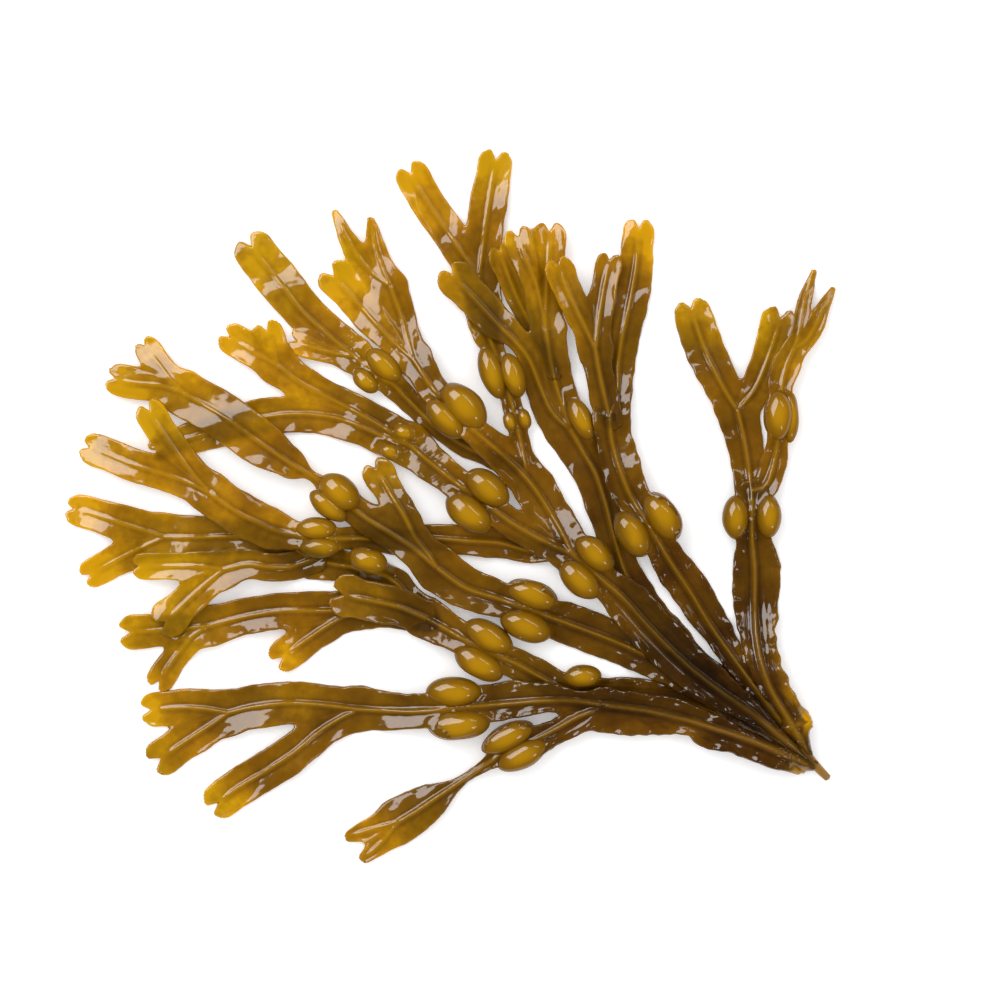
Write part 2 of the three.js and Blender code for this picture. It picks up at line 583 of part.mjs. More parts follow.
const traces = new Map(FROND.map(({ name, route }) => [name, traceRoute(route)]));
const armTraces = new Map(FROND.map(({ name, arms = [] }) => [name, arms.map(traceRoute)]));

function splitOf(branch) {
  if (!branch.from) return 0;
  if (branch.split !== undefined) return branch.split;
  const siblings = FROND.filter(({ name, from }) => from === branch.from && name !== branch.name);
  const others = [branch.from, ...siblings.map(({ name }) => name)].map((name) => traces.get(name));
  return armpit(traces.get(branch.name), others.concat(armTraces.get(branch.from)));
}

const splits = new Map(FROND.map((branch) => [branch.name, splitOf(branch)]));

function branchSolid(branch) {
  const children = FROND.filter(({ from }) => from === branch.name);
  const trace = traces.get(branch.name);
  const arms = armTraces.get(branch.name);
  const isTip = children.length === 0 && arms.length === 0;
  const start = branch.from ? splits.get(branch.name) + GAP : 0;
  let body = ribbon(trace, start, trace.length, isTip);
  for (const arm of arms) body = body.add(ribbon(arm, 0, arm.length, true));
  for (const child of children) {
    body = body.add(ribbon(traces.get(child.name), 0, splits.get(child.name), false));
  }
  for (const place of branch.bladders ?? []) body = body.add(bladder(place));
  return body;
}

const frond = new THREE.Group();
for (const branch of FROND) {
  const material = new THREE.MeshStandardMaterial({ ...COLOURS[branch.look], metalness: 0 });
  const mesh = new THREE.Mesh(geometryOf(branchSolid(branch)), material);
  mesh.name = branch.name;
  frond.add(mesh);
}

export default frond;
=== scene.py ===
"""Looks for a cut frond of bladder wrack that lies on a pale floor.

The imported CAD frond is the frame. Each sheet of frond is rebuilt around it as one closed mesh: a thin
wavy blade with a raised midrib, notched tips and swollen air bladders. Lengths are in millimetres until
a mesh is made, and every mesh is in metres.
"""
import math

import bpy
import numpy as np
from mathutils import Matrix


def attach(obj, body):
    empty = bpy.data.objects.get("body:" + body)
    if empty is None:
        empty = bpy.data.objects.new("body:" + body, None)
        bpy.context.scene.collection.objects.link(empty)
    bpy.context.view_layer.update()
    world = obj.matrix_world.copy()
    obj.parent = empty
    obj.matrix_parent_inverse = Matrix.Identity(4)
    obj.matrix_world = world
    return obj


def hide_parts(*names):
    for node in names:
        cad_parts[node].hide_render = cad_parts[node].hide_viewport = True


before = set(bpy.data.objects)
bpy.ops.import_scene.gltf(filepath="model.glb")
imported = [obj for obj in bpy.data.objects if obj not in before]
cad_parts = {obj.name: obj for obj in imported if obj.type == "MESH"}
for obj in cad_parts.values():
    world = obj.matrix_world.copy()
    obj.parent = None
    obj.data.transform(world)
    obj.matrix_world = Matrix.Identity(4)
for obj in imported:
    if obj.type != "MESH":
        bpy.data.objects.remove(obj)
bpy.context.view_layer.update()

MM = 0.001
LOW, MID, HIGH = 0.7, 3.7, 6.4   # heights of a blade's middle: on the floor, over one blade, over two

# Each CAD node's routes along its midribs, seen along growth:
# (x, y, height, half width) or (x, y, height, left half width, right half width).
ROUTES = {
    "stipe": [
        [(105, -72.6, 4.4, 1.2), (107.4, -75.6, 3.6, 1.5), (110.4, -79, 3, 1.35), (113.8, -82.4, 2.4, 1.1)],
    ],
    "stem_a": [
        [(109, -78, 3, 1.6), (105, -76.4, 4.6, 3.2, 1.5), (100, -74.4, 6.2, 5.4, 1.5),
         (90, -70.3, HIGH, 5.8, 2.6), (80, -67, 5.4, 6.4, 4), (70, -64, 4.2, 5, 5.2),
         (60, -61.8, MID, 7.4, 5), (47, -60, MID, 8.6, 4.8)],
        [(100.4, -75, 4, 1.6), (103, -77.8, 2.6, 2.3), (106, -80.4, 1.6, 1.5)],
    ],
    "blade_a1": [
        [(47, -60, MID, 5), (38, -63.7, 3.4, 5, 3.2), (32, -67, 3.4, 5, 3), (25, -70.6, 3.7, 4.6, 4),
         (17, -74, 3.7, 4), (10, -78.6, 2.6, 1.8), (2, -84, 1.2, 2), (-4, -88, LOW, 4.8),
         (-10, -92, LOW, 6.4), (-15, -95, LOW, 7)],
        [(-15, -95, LOW, 5.5), (-23, -97.4, LOW, 3.6), (-31.3, -100, LOW, 1.5)],
        [(-15, -95, LOW, 5.5), (-20, -101, LOW, 3.8), (-26.2, -107, LOW, 1.5)],
    ],
    "blade_a2": [
        [(47, -60, MID, 7, 4), (38, -58.8, MID, 4.6, 3.2), (30, -58.6, MID, 3.6, 5.4),
         (15, -59.8, MID, 5, 6.5), (0, -61, 3.9, 5), (-12, -62, 2.4, 5.5), (-20, -61.8, LOW, 6),
         (-27, -61.5, LOW, 6.5)],
    ],
    "blade_a3": [
        [(-27, -61.5, LOW, 6.5), (-40, -60, LOW, 6.2), (-50, -59.7, LOW, 6.5), (-60, -61, LOW, 6.5),
         (-66, -62.5, LOW, 6.5)],
        [(-66, -62.5, LOW, 6), (-73, -61.4, LOW, 6), (-80, -61, LOW, 5.6), (-92.5, -62, LOW, 3.4)],
        [(-66, -62.5, LOW, 6), (-72, -66.6, LOW, 5.6), (-80, -71.8, LOW, 5.5), (-89.4, -78.4, LOW, 4.2)],
    ],
    "blade_a4": [
        [(-27, -61.5, LOW, 5.5), (-33, -64.4, LOW, 5.5), (-40, -69, LOW, 5.5), (-46, -74, LOW, 5.8),
         (-55, -80, LOW, 5.8), (-65, -86.2, LOW, 5.5), (-72, -92, LOW, 3.5)],
    ],
    "stem_b": [
        [(109, -78, 3, 1.6), (99.5, -72.8, LOW, 1.5), (95, -70.2, LOW, 2), (88, -66, LOW, 3),
         (78, -62, LOW, 4), (66, -59, LOW, 5.5), (55, -58, LOW, 6), (45, -57.6, LOW, 6),
         (38, -56.6, LOW, 5.5), (33, -55, LOW, 5), (27, -51.6, 1.2, 5), (20, -47.6, 2.6, 4.5),
         (10, -43.4, 3.9, 4), (0, -37.8, 3.2, 5.5), (-7, -34, 2.6, 6.5)],
    ],
    "blade_b2": [
        [(-7, -34, 2.6, 5), (-12, -28.5, 1.6, 4.5), (-16, -23.6, LOW, 4.2), (-22, -20.4, LOW, 4.2),
         (-30, -18.8, LOW, 4.6), (-41, -16.5, LOW, 6.2)],
    ],
    "blade_b3": [
        [(-41, -16.5, LOW, 5), (-48, -12.8, LOW, 5.5), (-55, -10.3, LOW, 6), (-65, -9.7, LOW, 6),
         (-75, -10, LOW, 6.4), (-85, -10, LOW, 7.4)],
        [(-85, -10, LOW, 6), (-92, -7.6, LOW, 5.8), (-100, -5, LOW, 5.4), (-108, -2.6, LOW, 4.6),
         (-115, -0.9, LOW, 2.8)],
        [(-85, -10, LOW, 6), (-91, -12.6, LOW, 5.2), (-98, -16, LOW, 5), (-110, -22.6, LOW, 3)],
    ],
    "blade_b1": [
        [(-7, -34, 2.6, 5.5), (-14, -31, 3.8, 5.6), (-20, -29.5, 4.1, 6), (-30, -27.5, 3.9, 5.6),
         (-35.5, -26.3, MID, 4)],
    ],
    "blade_b4": [
        [(-41, -16.5, LOW, 4.6), (-47, -18.6, 1.8, 4.4), (-53, -18.8, 3.2, 4.2), (-60, -18, MID, 4.6),
         (-67, -19.5, MID, 5.5)],
        [(-67, -19.5, MID, 4.6), (-74, -18.6, MID, 4.5), (-82, -18.6, MID, 4.2), (-95, -18.6, MID, 2.8)],
        [(-67, -19.5, MID, 4.6), (-72, -23.4, MID, 5), (-78, -28.8, MID, 5), (-83, -33.6, MID, 5),
         (-87.5, -37.2, MID, 3.8)],
    ],
    "blade_b5": [
        [(-6, -35, 2.6, 4), (-16, -33.4, LOW, 4), (-28, -32, LOW, 5.8), (-40, -32, LOW, 5.8),
         (-50, -32, LOW, 5.5), (-60, -33.5, LOW, 5.5), (-72, -36.5, LOW, 6)],
        [(-72, -36.5, LOW, 5.4), (-80, -37.2, LOW, 5), (-90, -38, LOW, 5), (-99, -38.6, LOW, 3.6)],
        [(-72, -36.5, LOW, 5), (-77, -39.8, LOW, 4.4), (-81, -44.4, LOW, 4), (-85, -50, LOW, 3.8),
         (-88.5, -55.6, LOW, 2.8)],
    ],
    "blade_b6": [
        [(-28, -32, LOW, 4.6), (-34, -35, LOW, 4.8), (-40, -38.8, LOW, 4.8), (-46, -43, LOW, 4.8),
         (-52.5, -48, LOW, 3.2)],
    ],
    "stem_c": [
        [(108, -77, 3, 1.6), (99, -70.9, 3.5, 1.7), (94, -67.2, 3.6, 2.2), (90, -64, 3.6, 3.2),
         (80, -56.8, 3.6, 5), (73, -51.8, 3.5, 6), (67, -48.5, 3.2, 6.2, 5), (60, -45.5, 2.2, 6.2, 4.4),
         (50, -41.2, LOW, 6.4, 5.6), (40, -37.4, LOW, 6.4), (33, -34.8, 1.8, 6), (25, -31.8, MID, 4.5),
         (15, -28.3, MID, 5.5), (5, -25, 3.9, 6.4), (-3, -19.5, 3.9, 7)],
    ],
    "blade_c1": [
        [(-3, -19.5, 3.9, 6), (-6.5, -14.5, 4, 4.8), (-10, -10, 4, 4.5), (-13, -4, MID, 4.3),
         (-17, 2.5, 3.5, 4.3), (-20.5, 8.5, MID, 4.2), (-23.4, 13, MID, 3)],
    ],
    "blade_c2": [
        [(-3, -19.5, 3.9, 6), (-10, -13.6, 3.9, 5), (-17, -9, 3.9, 4.8), (-25, -4, 4, 4.8),
         (-31, 0.6, 4.2, 4.4), (-36, 4.6, 4.2, 3.4), (-41, 8.5, 3.9, 1.7), (-47, 12, MID, 4)],
    ],
    "blade_c3": [
        [(-47, 12, MID, 4), (-53, 16, MID, 6.4), (-60, 21, MID, 7), (-67, 26, MID, 7), (-79, 33, 3.5, 7)],
        [(-79, 33, 3.5, 5), (-84, 38.6, 2.6, 4), (-88, 43.6, 1.6, 3.6), (-92.6, 49.2, LOW, 2.6)],
        [(-79, 33, 3.5, 5), (-86, 35.3, 3, 5), (-95, 36.3, 2.6, 4.6), (-102.5, 38.2, 2.2, 3.2)],
    ],
    "stem_d": [
        [(108, -77, 3, 1.6), (99.5, -69.8, 6.2, 1.5, 1.6), (90, -62, HIGH, 3.2, 3.6), (80, -55, HIGH, 5.4),
         (70, -47, 5.2, 6.4), (60, -37, 4, 6.8), (52, -28, 4, 6.4), (46, -22.8, 4.3, 5), (37, -15, 4.3, 6)],
    ],
    "blade_d1": [
        [(37, -15, 4.3, 5), (30, -11.8, 4.1, 5), (20, -6.3, 4.3, 4.5), (11.5, -0.4, 4.9, 4),
         (2, 6.5, 4, 4.8), (-5, 12, 2.8, 5.5), (-11.5, 17.5, 1.6, 6.5)],
    ],
    "blade_d2": [
        [(-11.5, 17.5, 1.6, 5.6), (-20, 20.4, LOW, 5.6), (-26, 23, LOW, 5.6), (-33, 25.6, LOW, 5.8),
         (-45, 27, LOW, 5.6, 5), (-55, 26, LOW, 5.8), (-70, 22, LOW, 5.4), (-80, 19, LOW, 4.5),
         (-90, 15, LOW, 3)],
    ],
    "blade_d3": [
        [(-11.5, 17.5, 1.6, 5.6), (-20, 23.2, LOW, 5.4), (-30, 28.8, LOW, 5), (-37, 32.4, LOW, 4.8),
         (-45, 36.8, LOW, 5.2), (-51, 41.4, LOW, 6)],
        [(-51, 41.4, LOW, 5), (-56, 44.2, LOW, 4.8), (-62, 47.6, LOW, 4.4), (-68, 51.8, LOW, 3)],
        [(-51, 41.4, LOW, 4.6), (-52.6, 46.8, 2.6, 4.4), (-55.4, 54.6, 3.6, 3)],
    ],
    "blade_e1": [
        [(37, -15, 4.3, 5.6), (33.5, -8, 3.6, 5.8), (30, -2, 2.6, 5.8), (25, 5.5, 2.4, 6.4),
         (20, 11, 3, 5.6), (13, 17.3, 4.6, 4.8), (7, 22.5, 6, 4), (2, 27.4, HIGH, 3.8),
         (-5, 34.8, 4.8, 4.4), (-10.5, 43, 3.4, 4.4, 6)],
    ],
    "blade_e2": [
        [(-10.5, 43, 3.4, 4), (-15, 47, 2.6, 4), (-20, 52, 1.6, 4.6), (-28, 61, LOW, 5.2),
         (-37, 71.2, LOW, 4.2)],
    ],
    "blade_e3": [
        [(-10.5, 43, 3.4, 4.6), (-12.5, 50, 2, 4.2), (-14.5, 57, LOW, 4.4), (-17.5, 65, LOW, 5)],
        [(-17.5, 65, LOW, 4), (-20, 71, LOW, 3.6), (-22, 77, LOW, 3), (-23.5, 86, LOW, 0.9)],
        [(-17.5, 65, LOW, 4), (-23, 69.4, LOW, 3.8), (-28.4, 76, LOW, 3.3), (-34.5, 88, LOW, 0.9)],
    ],
    "blade_e6": [
        [(23.2, 8, 2.8, 3.6), (22.8, 12, 2.4, 3.4), (22, 16, 2, 3), (20.9, 21, 2, 2.8), (19.6, 27, 3, 3),
         (17.6, 34, 4.2, 3), (15.8, 40, 4, 3), (13.6, 46, 1.4, 3.4), (11.6, 52, LOW, 5), (10, 60, LOW, 6),
         (9, 68, LOW, 6.4)],
    ],
    "blade_e7": [
        [(9, 68, LOW, 5.4), (4.4, 74.6, LOW, 5.2), (0, 81, LOW, 5), (-8, 93, LOW, 5), (-13, 102, LOW, 3.4)],
    ],
    "blade_e8": [
        [(9, 68, LOW, 5.4), (10, 76, LOW, 5.4), (11, 84, LOW, 5.5), (12.5, 94, LOW, 5.5),
         (14.5, 106.4, LOW, 3.4)],
    ],
    "blade_d4": [
        [(33, -13.4, 4, 3.6), (25, -14, 0.9, 3.8), (15, -11.6, LOW, 4.6), (5, -11, LOW, 4.6),
         (-5, -10.4, LOW, 4.5), (-15, -11, LOW, 4.5), (-25, -10.4, LOW, 3.6, 4.3), (-32, -10.3, 2.8, 3.4),
         (-39, -10.2, 5, 3.4), (-46, -9.3, 4.5, 4.5), (-53, -7.4, 3.9, 5.8)],
    ],
    "blade_d5": [
        [(-53, -7.4, 3.9, 5.8), (-60, -4, MID, 6.4), (-66, -0.5, 3.8, 6.4), (-71, 3.2, 4.4, 6.4)],
        [(-71, 3.2, 4.4, 5), (-76, 8.6, 5.8, 4.8), (-80, 14, HIGH, 4.5), (-85, 21, HIGH, 4.5),
         (-90.6, 30.4, 6.2, 3)],
        [(-71, 3.2, 4.4, 5), (-78, 6.5, 4.2, 5.2), (-85, 9, 4, 5), (-95, 12, 3.5, 5), (-103, 15.2, 2, 4.6),
         (-110.4, 17.8, LOW, 3)],
    ],
    "blade_e4": [
        [(19.4, 11.4, 3, 3.6), (11, 14.6, 0.9, 3.2), (4, 17.8, LOW, 3.2), (-4, 23.5, LOW, 3.2),
         (-11, 30, LOW, 3.4), (-16, 35, 2.2, 4), (-22, 39.4, 3.5, 4), (-28, 44, 2, 5.4)],
        [(-28, 44, 2, 3.4), (-34, 45.2, 0.9, 3.6), (-41, 47, LOW, 3.6), (-48, 49.8, LOW, 2.6)],
    ],
    "blade_e5": [
        [(-28, 44, 2, 4, 5.4), (-35, 49.8, LOW, 4.2, 6), (-43, 56.8, LOW, 5.4, 6.2), (-50, 65.5, LOW, 6.4),
         (-56, 73, LOW, 6), (-61.4, 80.2, LOW, 3.8)],
    ],
    "stem_r": [
        [(108, -76.5, 3, 1.6), (100.5, -69, LOW, 1.5), (97, -65.4, LOW, 1.9), (92, -60.5, LOW, 3),
         (83, -53.8, LOW, 4.5, 3.6), (75, -48, LOW, 5.4, 4.2), (66, -39.5, LOW, 5, 5.4),
         (58, -30, LOW, 5, 5.4), (52.5, -20, LOW, 4.4, 5), (49, -8, LOW, 5, 4.6)],
    ],
    "blade_r1": [
        [(49, -8, LOW, 5, 4.6), (47, 0, LOW, 6.2, 5), (44, 9, LOW, 6.6, 5.4), (40, 16, LOW, 7),
         (36.5, 22, LOW, 7.6)],
    ],
    "blade_r2": [
        [(36.5, 22, LOW, 6), (31, 27.5, LOW, 5.6), (27.4, 35, LOW, 4.6, 5), (23.8, 43.5, 1.6, 2.8, 5),
         (19.4, 49, 3.6, 2.8, 4.6), (15, 53.4, MID, 4.8, 5.2), (8, 61, MID, 5.2), (2, 67.6, MID, 4.8),
         (-0.8, 71.2, MID, 3.4)],
    ],
    "blade_r3": [
        [(36.5, 22, LOW, 6), (34.2, 29, LOW, 5.4), (32, 36, LOW, 5.4), (30.2, 44, 2.8, 4.4, 5.6),
         (29, 52, MID, 3.8, 6)],
        [(29, 52, MID, 3.8, 5), (29, 60, MID, 5), (29.5, 68, 3.6, 5), (30, 77, 2.8, 4.6),
         (30, 84.6, 2.2, 3.2)],
        [(29, 52, MID, 3.8, 5), (28, 58, 4.6, 4.5), (26, 66, 6, 4.2), (22.6, 74, 6, 4.4),
         (19.8, 82.4, 5.4, 3)],
    ],
    "blade_r4": [
        [(31.4, 40, LOW, 3), (27, 49, LOW, 2.8), (24, 55, LOW, 3.2), (21.4, 60, LOW, 3.4),
         (18.8, 66, 2.6, 3.6), (16.2, 73, MID, 3.4), (14.4, 77.4, 3.6, 2.2)],
    ],
    "stem_s": [
        [(107.5, -76, 3, 1.6), (101.8, -68.3, 3.5, 1.5), (98.4, -63.8, 3.6, 1.8), (95, -59.4, 3.6, 2.6),
         (90, -52.8, 3.3, 3.4), (85, -46, 2.2, 3.6, 4.2), (78, -36, LOW, 4.2, 6), (72, -26, LOW, 5.6, 6.4),
         (66, -17, 3.2, 5.4), (59.6, -6.4, 5.6, 4.5), (54, 3, 4, 5.4, 6), (50.5, 12, MID, 5.4, 6.6),
         (48.5, 20, MID, 4.6, 6.4), (48, 26, MID, 4.4, 6)],
    ],
    "blade_s2": [
        [(48, 26, MID, 5), (50.2, 33, 1.2, 4.6), (50.6, 42, LOW, 5.2), (51.8, 50, LOW, 5.5),
         (54, 60, LOW, 5.5), (56, 71, LOW, 5.3), (57, 85.6, LOW, 3.2)],
    ],
    "blade_s1": [
        [(48, 26, MID, 4.4), (46.3, 33, MID, 4.4), (44.8, 40, MID, 4.2), (43.8, 46, MID, 5)],
        [(43.8, 46, MID, 4.4), (44.6, 54, 3.4, 4.2), (46, 63, 3.4, 4), (48.4, 75.2, 3.4, 2.8)],
        [(43.8, 46, MID, 4.4), (41, 52, 4.6, 4.2), (37.8, 58.5, 6, 4.1), (33.8, 67.5, HIGH, 4),
         (31.8, 73.6, 6.2, 2.6)],
    ],
    "stem_t": [
        [(107.5, -76, 3, 1.6), (103.6, -68, 6, 1.5, 3.6), (99.6, -61.5, 6.3, 2, 5.6),
         (96, -55.5, HIGH, 2.8, 6), (93.2, -48, 5.6, 4.4, 6.2), (91.8, -40, 3.4, 4.8, 6.2),
         (91.5, -30, LOW, 6.2, 7), (91.5, -20, LOW, 6.4, 8), (90.7, -11, 2.2, 5, 6), (90.5, -3.5, MID, 4),
         (90.5, 4, 2.6, 5)],
        [(101.4, -66.4, 5.4, 2.2), (104.6, -65.4, 5, 3.8), (108.6, -64.4, 4, 2.1)],
    ],
    "blade_t1": [
        [(90.5, 4, 2.6, 4.6), (89.6, 12, 0.9, 5.2), (88.4, 20, LOW, 5.6), (86.5, 28, LOW, 6.6)],
    ],
    "blade_t2": [
        [(86.5, 28, LOW, 5.6), (81.8, 35.5, LOW, 5.5), (77.6, 44, LOW, 5.8), (74.6, 52, LOW, 5.8),
         (71.6, 61.6, LOW, 3.6)],
    ],
    "blade_t3": [
        [(86.5, 28, LOW, 5), (91.2, 33.8, LOW, 5), (95, 42, LOW, 5), (98, 51, LOW, 5.4),
         (100, 59, LOW, 3.6)],
    ],
    "blade_t4": [
        [(90.5, 4, 2.6, 3.6), (94.4, 5.4, 2.2, 4), (97, 11.5, 2.2, 4), (98.2, 19, 3, 3.3),
         (98.6, 26.5, 4.4, 3.4), (99.6, 36, 3.8, 4.2, 3.4), (101, 41.6, 3.8, 4.4, 4.2),
         (103, 46.4, 3.6, 2.8, 3.8)],
        [(103, 46.4, 3.6, 2.6), (104.6, 51.5, 3, 2.3), (105.5, 56.5, 2.2, 2.4), (107, 62.5, 1.4, 1.9),
         (109.8, 70.4, LOW, 0.8)],
        [(103, 46.4, 3.6, 2.6), (106.6, 48.8, 3, 2.8), (109.6, 53.4, 2, 2.7), (112, 58.6, 1.4, 2.1),
         (115.4, 65.2, LOW, 0.8)],
    ],
}

# The sheets of frond, and the CAD nodes that each stands for.
SHEETS = {
    "frond_stipe": ("stipe",),
    "frond_a": ("stem_a", "blade_a1", "blade_a2", "blade_a3", "blade_a4"),
    "frond_b": ("stem_b", "blade_b2", "blade_b3"),
    "frond_b_upper": ("blade_b1",),
    "frond_j": ("blade_b4",),
    "frond_k": ("blade_b5", "blade_b6"),
    "frond_c": ("stem_c", "blade_c1", "blade_c2", "blade_c3"),
    "frond_d": ("stem_d", "blade_d1", "blade_d2", "blade_d3", "blade_e1", "blade_e2", "blade_e3",
                "blade_e6", "blade_e7", "blade_e8"),
    "frond_h": ("blade_d4", "blade_d5"),
    "frond_g": ("blade_e4", "blade_e5"),
    "frond_r": ("stem_r", "blade_r1", "blade_r2", "blade_r3"),
    "frond_p": ("blade_r4",),
    "frond_s": ("stem_s", "blade_s2"),
    "frond_s_upper": ("blade_s1",),
    "frond_t": ("stem_t", "blade_t1", "blade_t2", "blade_t3"),
    "frond_t_upper": ("blade_t4",),
}

# Air bladders: (x, y, height, half length, half width, turn in degrees).
BLADDERS = {
    "frond_a": [
        (17.5, -69.7, 3.7, 8.5, 4, 27), (22, -75, 3.7, 8, 4, 27), (1.5, -56, 3.9, 8.2, 4.5, 0),
        (3, -66, 3.9, 9.2, 4.6, 4),
    ],
    "frond_b": [
        (40, -51.4, 3, 5.6, 3.4, 4), (12, -39.6, 3.9, 8, 4.4, -30), (9, -47.6, 3.9, 8, 4.4, -30),
        (-24, -16.8, 4.4, 6, 3.9, -20),
    ],
    "frond_c": [
        (25, -27, 3.9, 8, 4.3, -20), (23, -36.5, 3.9, 8, 4.5, -20), (-32.6, 3.6, 4.3, 7, 4.8, -38),
        (-36, -0.6, 4.3, 6.6, 3.4, -38),
    ],
    "frond_d": [
        (43.6, -14.8, 4.4, 7, 4.3, -42), (39, -22.6, 4.4, 7.4, 4.4, -42), (11.6, 4.8, 4.9, 7.5, 4.7, -38),
        (6, -2.7, 4.9, 8, 4.9, -38), (-13.4, 21.4, 2.6, 3.4, 2.6, -30), (-17.6, 15.6, 2.6, 3.4, 2.4, -30),
        (4.6, 29.2, HIGH, 8.4, 5.2, -46), (-1, 25.3, HIGH, 7.4, 3.9, -46), (12.8, 39.2, 4.4, 8, 3.6, -72),
        (19.2, 38.4, 4.4, 6.8, 3.6, -72), (18.2, 24.6, 3, 3, 2, -75), (22.6, 25.4, 3, 3.2, 2, -75),
    ],
    "frond_h": [
        (-39.4, -7.3, 5, 6, 3.4, 0), (-38.4, -13, 5, 6, 3.2, 0),
    ],
    "frond_g": [
        (-19.3, 41.4, 3.7, 6.6, 3.6, -42), (-24.8, 36.8, 3.4, 4.6, 3, -42),
    ],
    "frond_r": [
        (39.6, 25.4, 3.1, 6.8, 3.4, -65),
    ],
    "frond_s": [
        (63.8, -3.6, 5.6, 8, 4.8, -58), (54.6, -9, 5.8, 7.5, 4.6, -58),
    ],
    "frond_t": [
        (85.6, -4, 3.7, 6.5, 3.9, 90), (95.6, -3.6, 3.7, 6.5, 3.7, 90),
    ],
    "frond_t_upper": [
        (98.2, 26.5, 4.4, 7.4, 4.3, 90), (102, 26, 3.4, 7.6, 2.6, 90),
    ],
}

CELL = 0.4   # spacing of the grid that a sheet is shaped on
ORIGIN = np.array([-124.0, -116.0])   # the grid's first corner; the last is as far on the other side
MARGIN = 8.0   # room round a route on that grid
FAR = 40.0   # edge distance where a route doesn't reach
CHUNK = 20000   # grid points measured at a time, to save memory
STEP = 0.4   # spacing of the stations along a route
CURVE_SAMPLES = 40   # samples between two points when a route's length is measured
WEB = 2.2   # how softly two arms join at their armpit
ARM_BLEND = 0.8   # how far one arm's height and width reach into the next
WIDE_TIP = 2.1   # a free tip with a half width over this spreads before its end
SPREAD = 0.3   # by this share of its width
SPREAD_FROM, SPREAD_TO = 11, 1   # over this stretch before its end
TIP_ROUNDING = 0.95   # a tip is rounded over this share of that half width
MOST_ROUNDING = 0.4   # and over no more than this share of its route
NOTCHED_TIP = 2.7   # a free tip with a half width over this is notched
NOTCH_DEPTH = 0.72   # depth of the notch as a share of that half width
NOTCH_ANGLE = math.radians(29)
NOTCH_SOFTNESS = 1.3
TIP_GLOW = 26.0   # length of the brighter young end of a blade
RIM = 0.45   # width of the rounded rim
HALF_THICKNESS = 0.6   # of the lamina at the stem end
THINNING = 0.22   # how much less that is at the tips
LOWER_RIB = 0.45   # the rib's height on the underside as a share of that on top
THINNEST = 0.05   # the two skins stay this far apart inside the rim
FLOOR_GAP = 0.02   # the lowest tissue lies this high

STEM_END = (109.0, -78.0)
DIRECTIONS = (88, 104, 110, 135, 180, 190)   # degrees round the stem end, anticlockwise from +X
REACHES = (126, 150, 205, 214, 215, 160)   # how far the tips are from it in those directions
GOLDEN = [  # ruffled bits of wing that are lighter, or below 0 duller: (x, y, radius, strength)
    (98.6, -37, 5, 0.4), (100, -47, 4.4, 0.52), (102.2, -56.3, 4.4, 0.58), (106, -64.8, 4.4, 0.66),
    (104.8, -79.6, 3, 0.62), (109, 58, 9, -0.3), (72, -68, 8, 0.28), (58, -67, 7, 0.22),
    (88, -45, 3, 0.2),
]

# Ripples that shape a sheet: their length, and their height where it doesn't vary.
LONG_WAVE, LONG_HEIGHT = 32, 1.25   # the loose blades rise and fall
WING_WAVE = 10   # the wings are ruffled
FRILL_WAVE, FRILL_HEIGHT = 5.5, 0.6   # crisper ruffles near the stem
CURL_WAVE, CURL_HEIGHT = 60, 0.9   # whole wings curl up or down
EDGE_WAVE, FINE_EDGE_WAVE, FINE_EDGE_SHARE = 10, 4.6, 0.35   # seen from above, the outline wavers
SKIN_WAVE, SKIN_HEIGHT = 3.4, 0.03   # the skin is a little uneven

STRAND_SPACING, STRAND_HEIGHT, STRAND_REACH = 1.6, 0.16, 4.5  # lengthwise strands beside the midrib
GROOVE_DEPTH = 0.2   # of the groove between them and the midrib
SWELL_HEIGHT = 0.45   # of the tissue that swells round a bladder
PUCKER_HEIGHT, PUCKERS = 0.13, 11   # of the small folds round a bladder, and how many


# ---- small helpers

def smooth_min(a, b, k):
    """The smaller of two fields, rounded off where they are within k of each other."""
    near = np.maximum(k - np.abs(a - b), 0.0) / k
    return np.minimum(a, b) - near * near * k / 4


def ease(x, low, high):
    """0 below low and 1 above high, with a smooth step between; low may be the larger."""
    t = np.clip((x - low) / (high - low), 0.0, 1.0)
    return t * t * (3 - 2 * t)


def ripple(x, y, wavelength, seed):
    """A smooth wavy field, mostly between -1 and 1, the same on every run."""
    total = np.zeros_like(x)
    for k in range(5):
        angle = 1.9 * k + 2.399 * seed
        stretch = wavelength * (1 + 0.23 * ((k * 7 + seed * 3) % 5 - 2))
        across = x * math.cos(angle) + y * math.sin(angle)
        total += np.sin(2 * math.pi * across / stretch + 4.1 * k + 1.7 * seed)
    return total / 3.2


def tone_of(x, y):
    """0 at the stem end, 1 at the furthest tips."""
    dx, dy = x - STEM_END[0], y - STEM_END[1]
    direction = np.degrees(np.arctan2(dy, dx)) % 360
    return np.clip(np.hypot(dx, dy) / np.interp(direction, DIRECTIONS, REACHES), 0, 1)


def glow_of(x, y):
    """How much lighter the golden bits of wing are."""
    return sum(strength * np.exp(-((x - gx) ** 2 + (y - gy) ** 2) / radius**2)
               for gx, gy, radius, strength in GOLDEN)


# ---- routes

def full_rows(points):
    return np.array([point if len(point) == 5 else (*point, point[3]) for point in points], float)


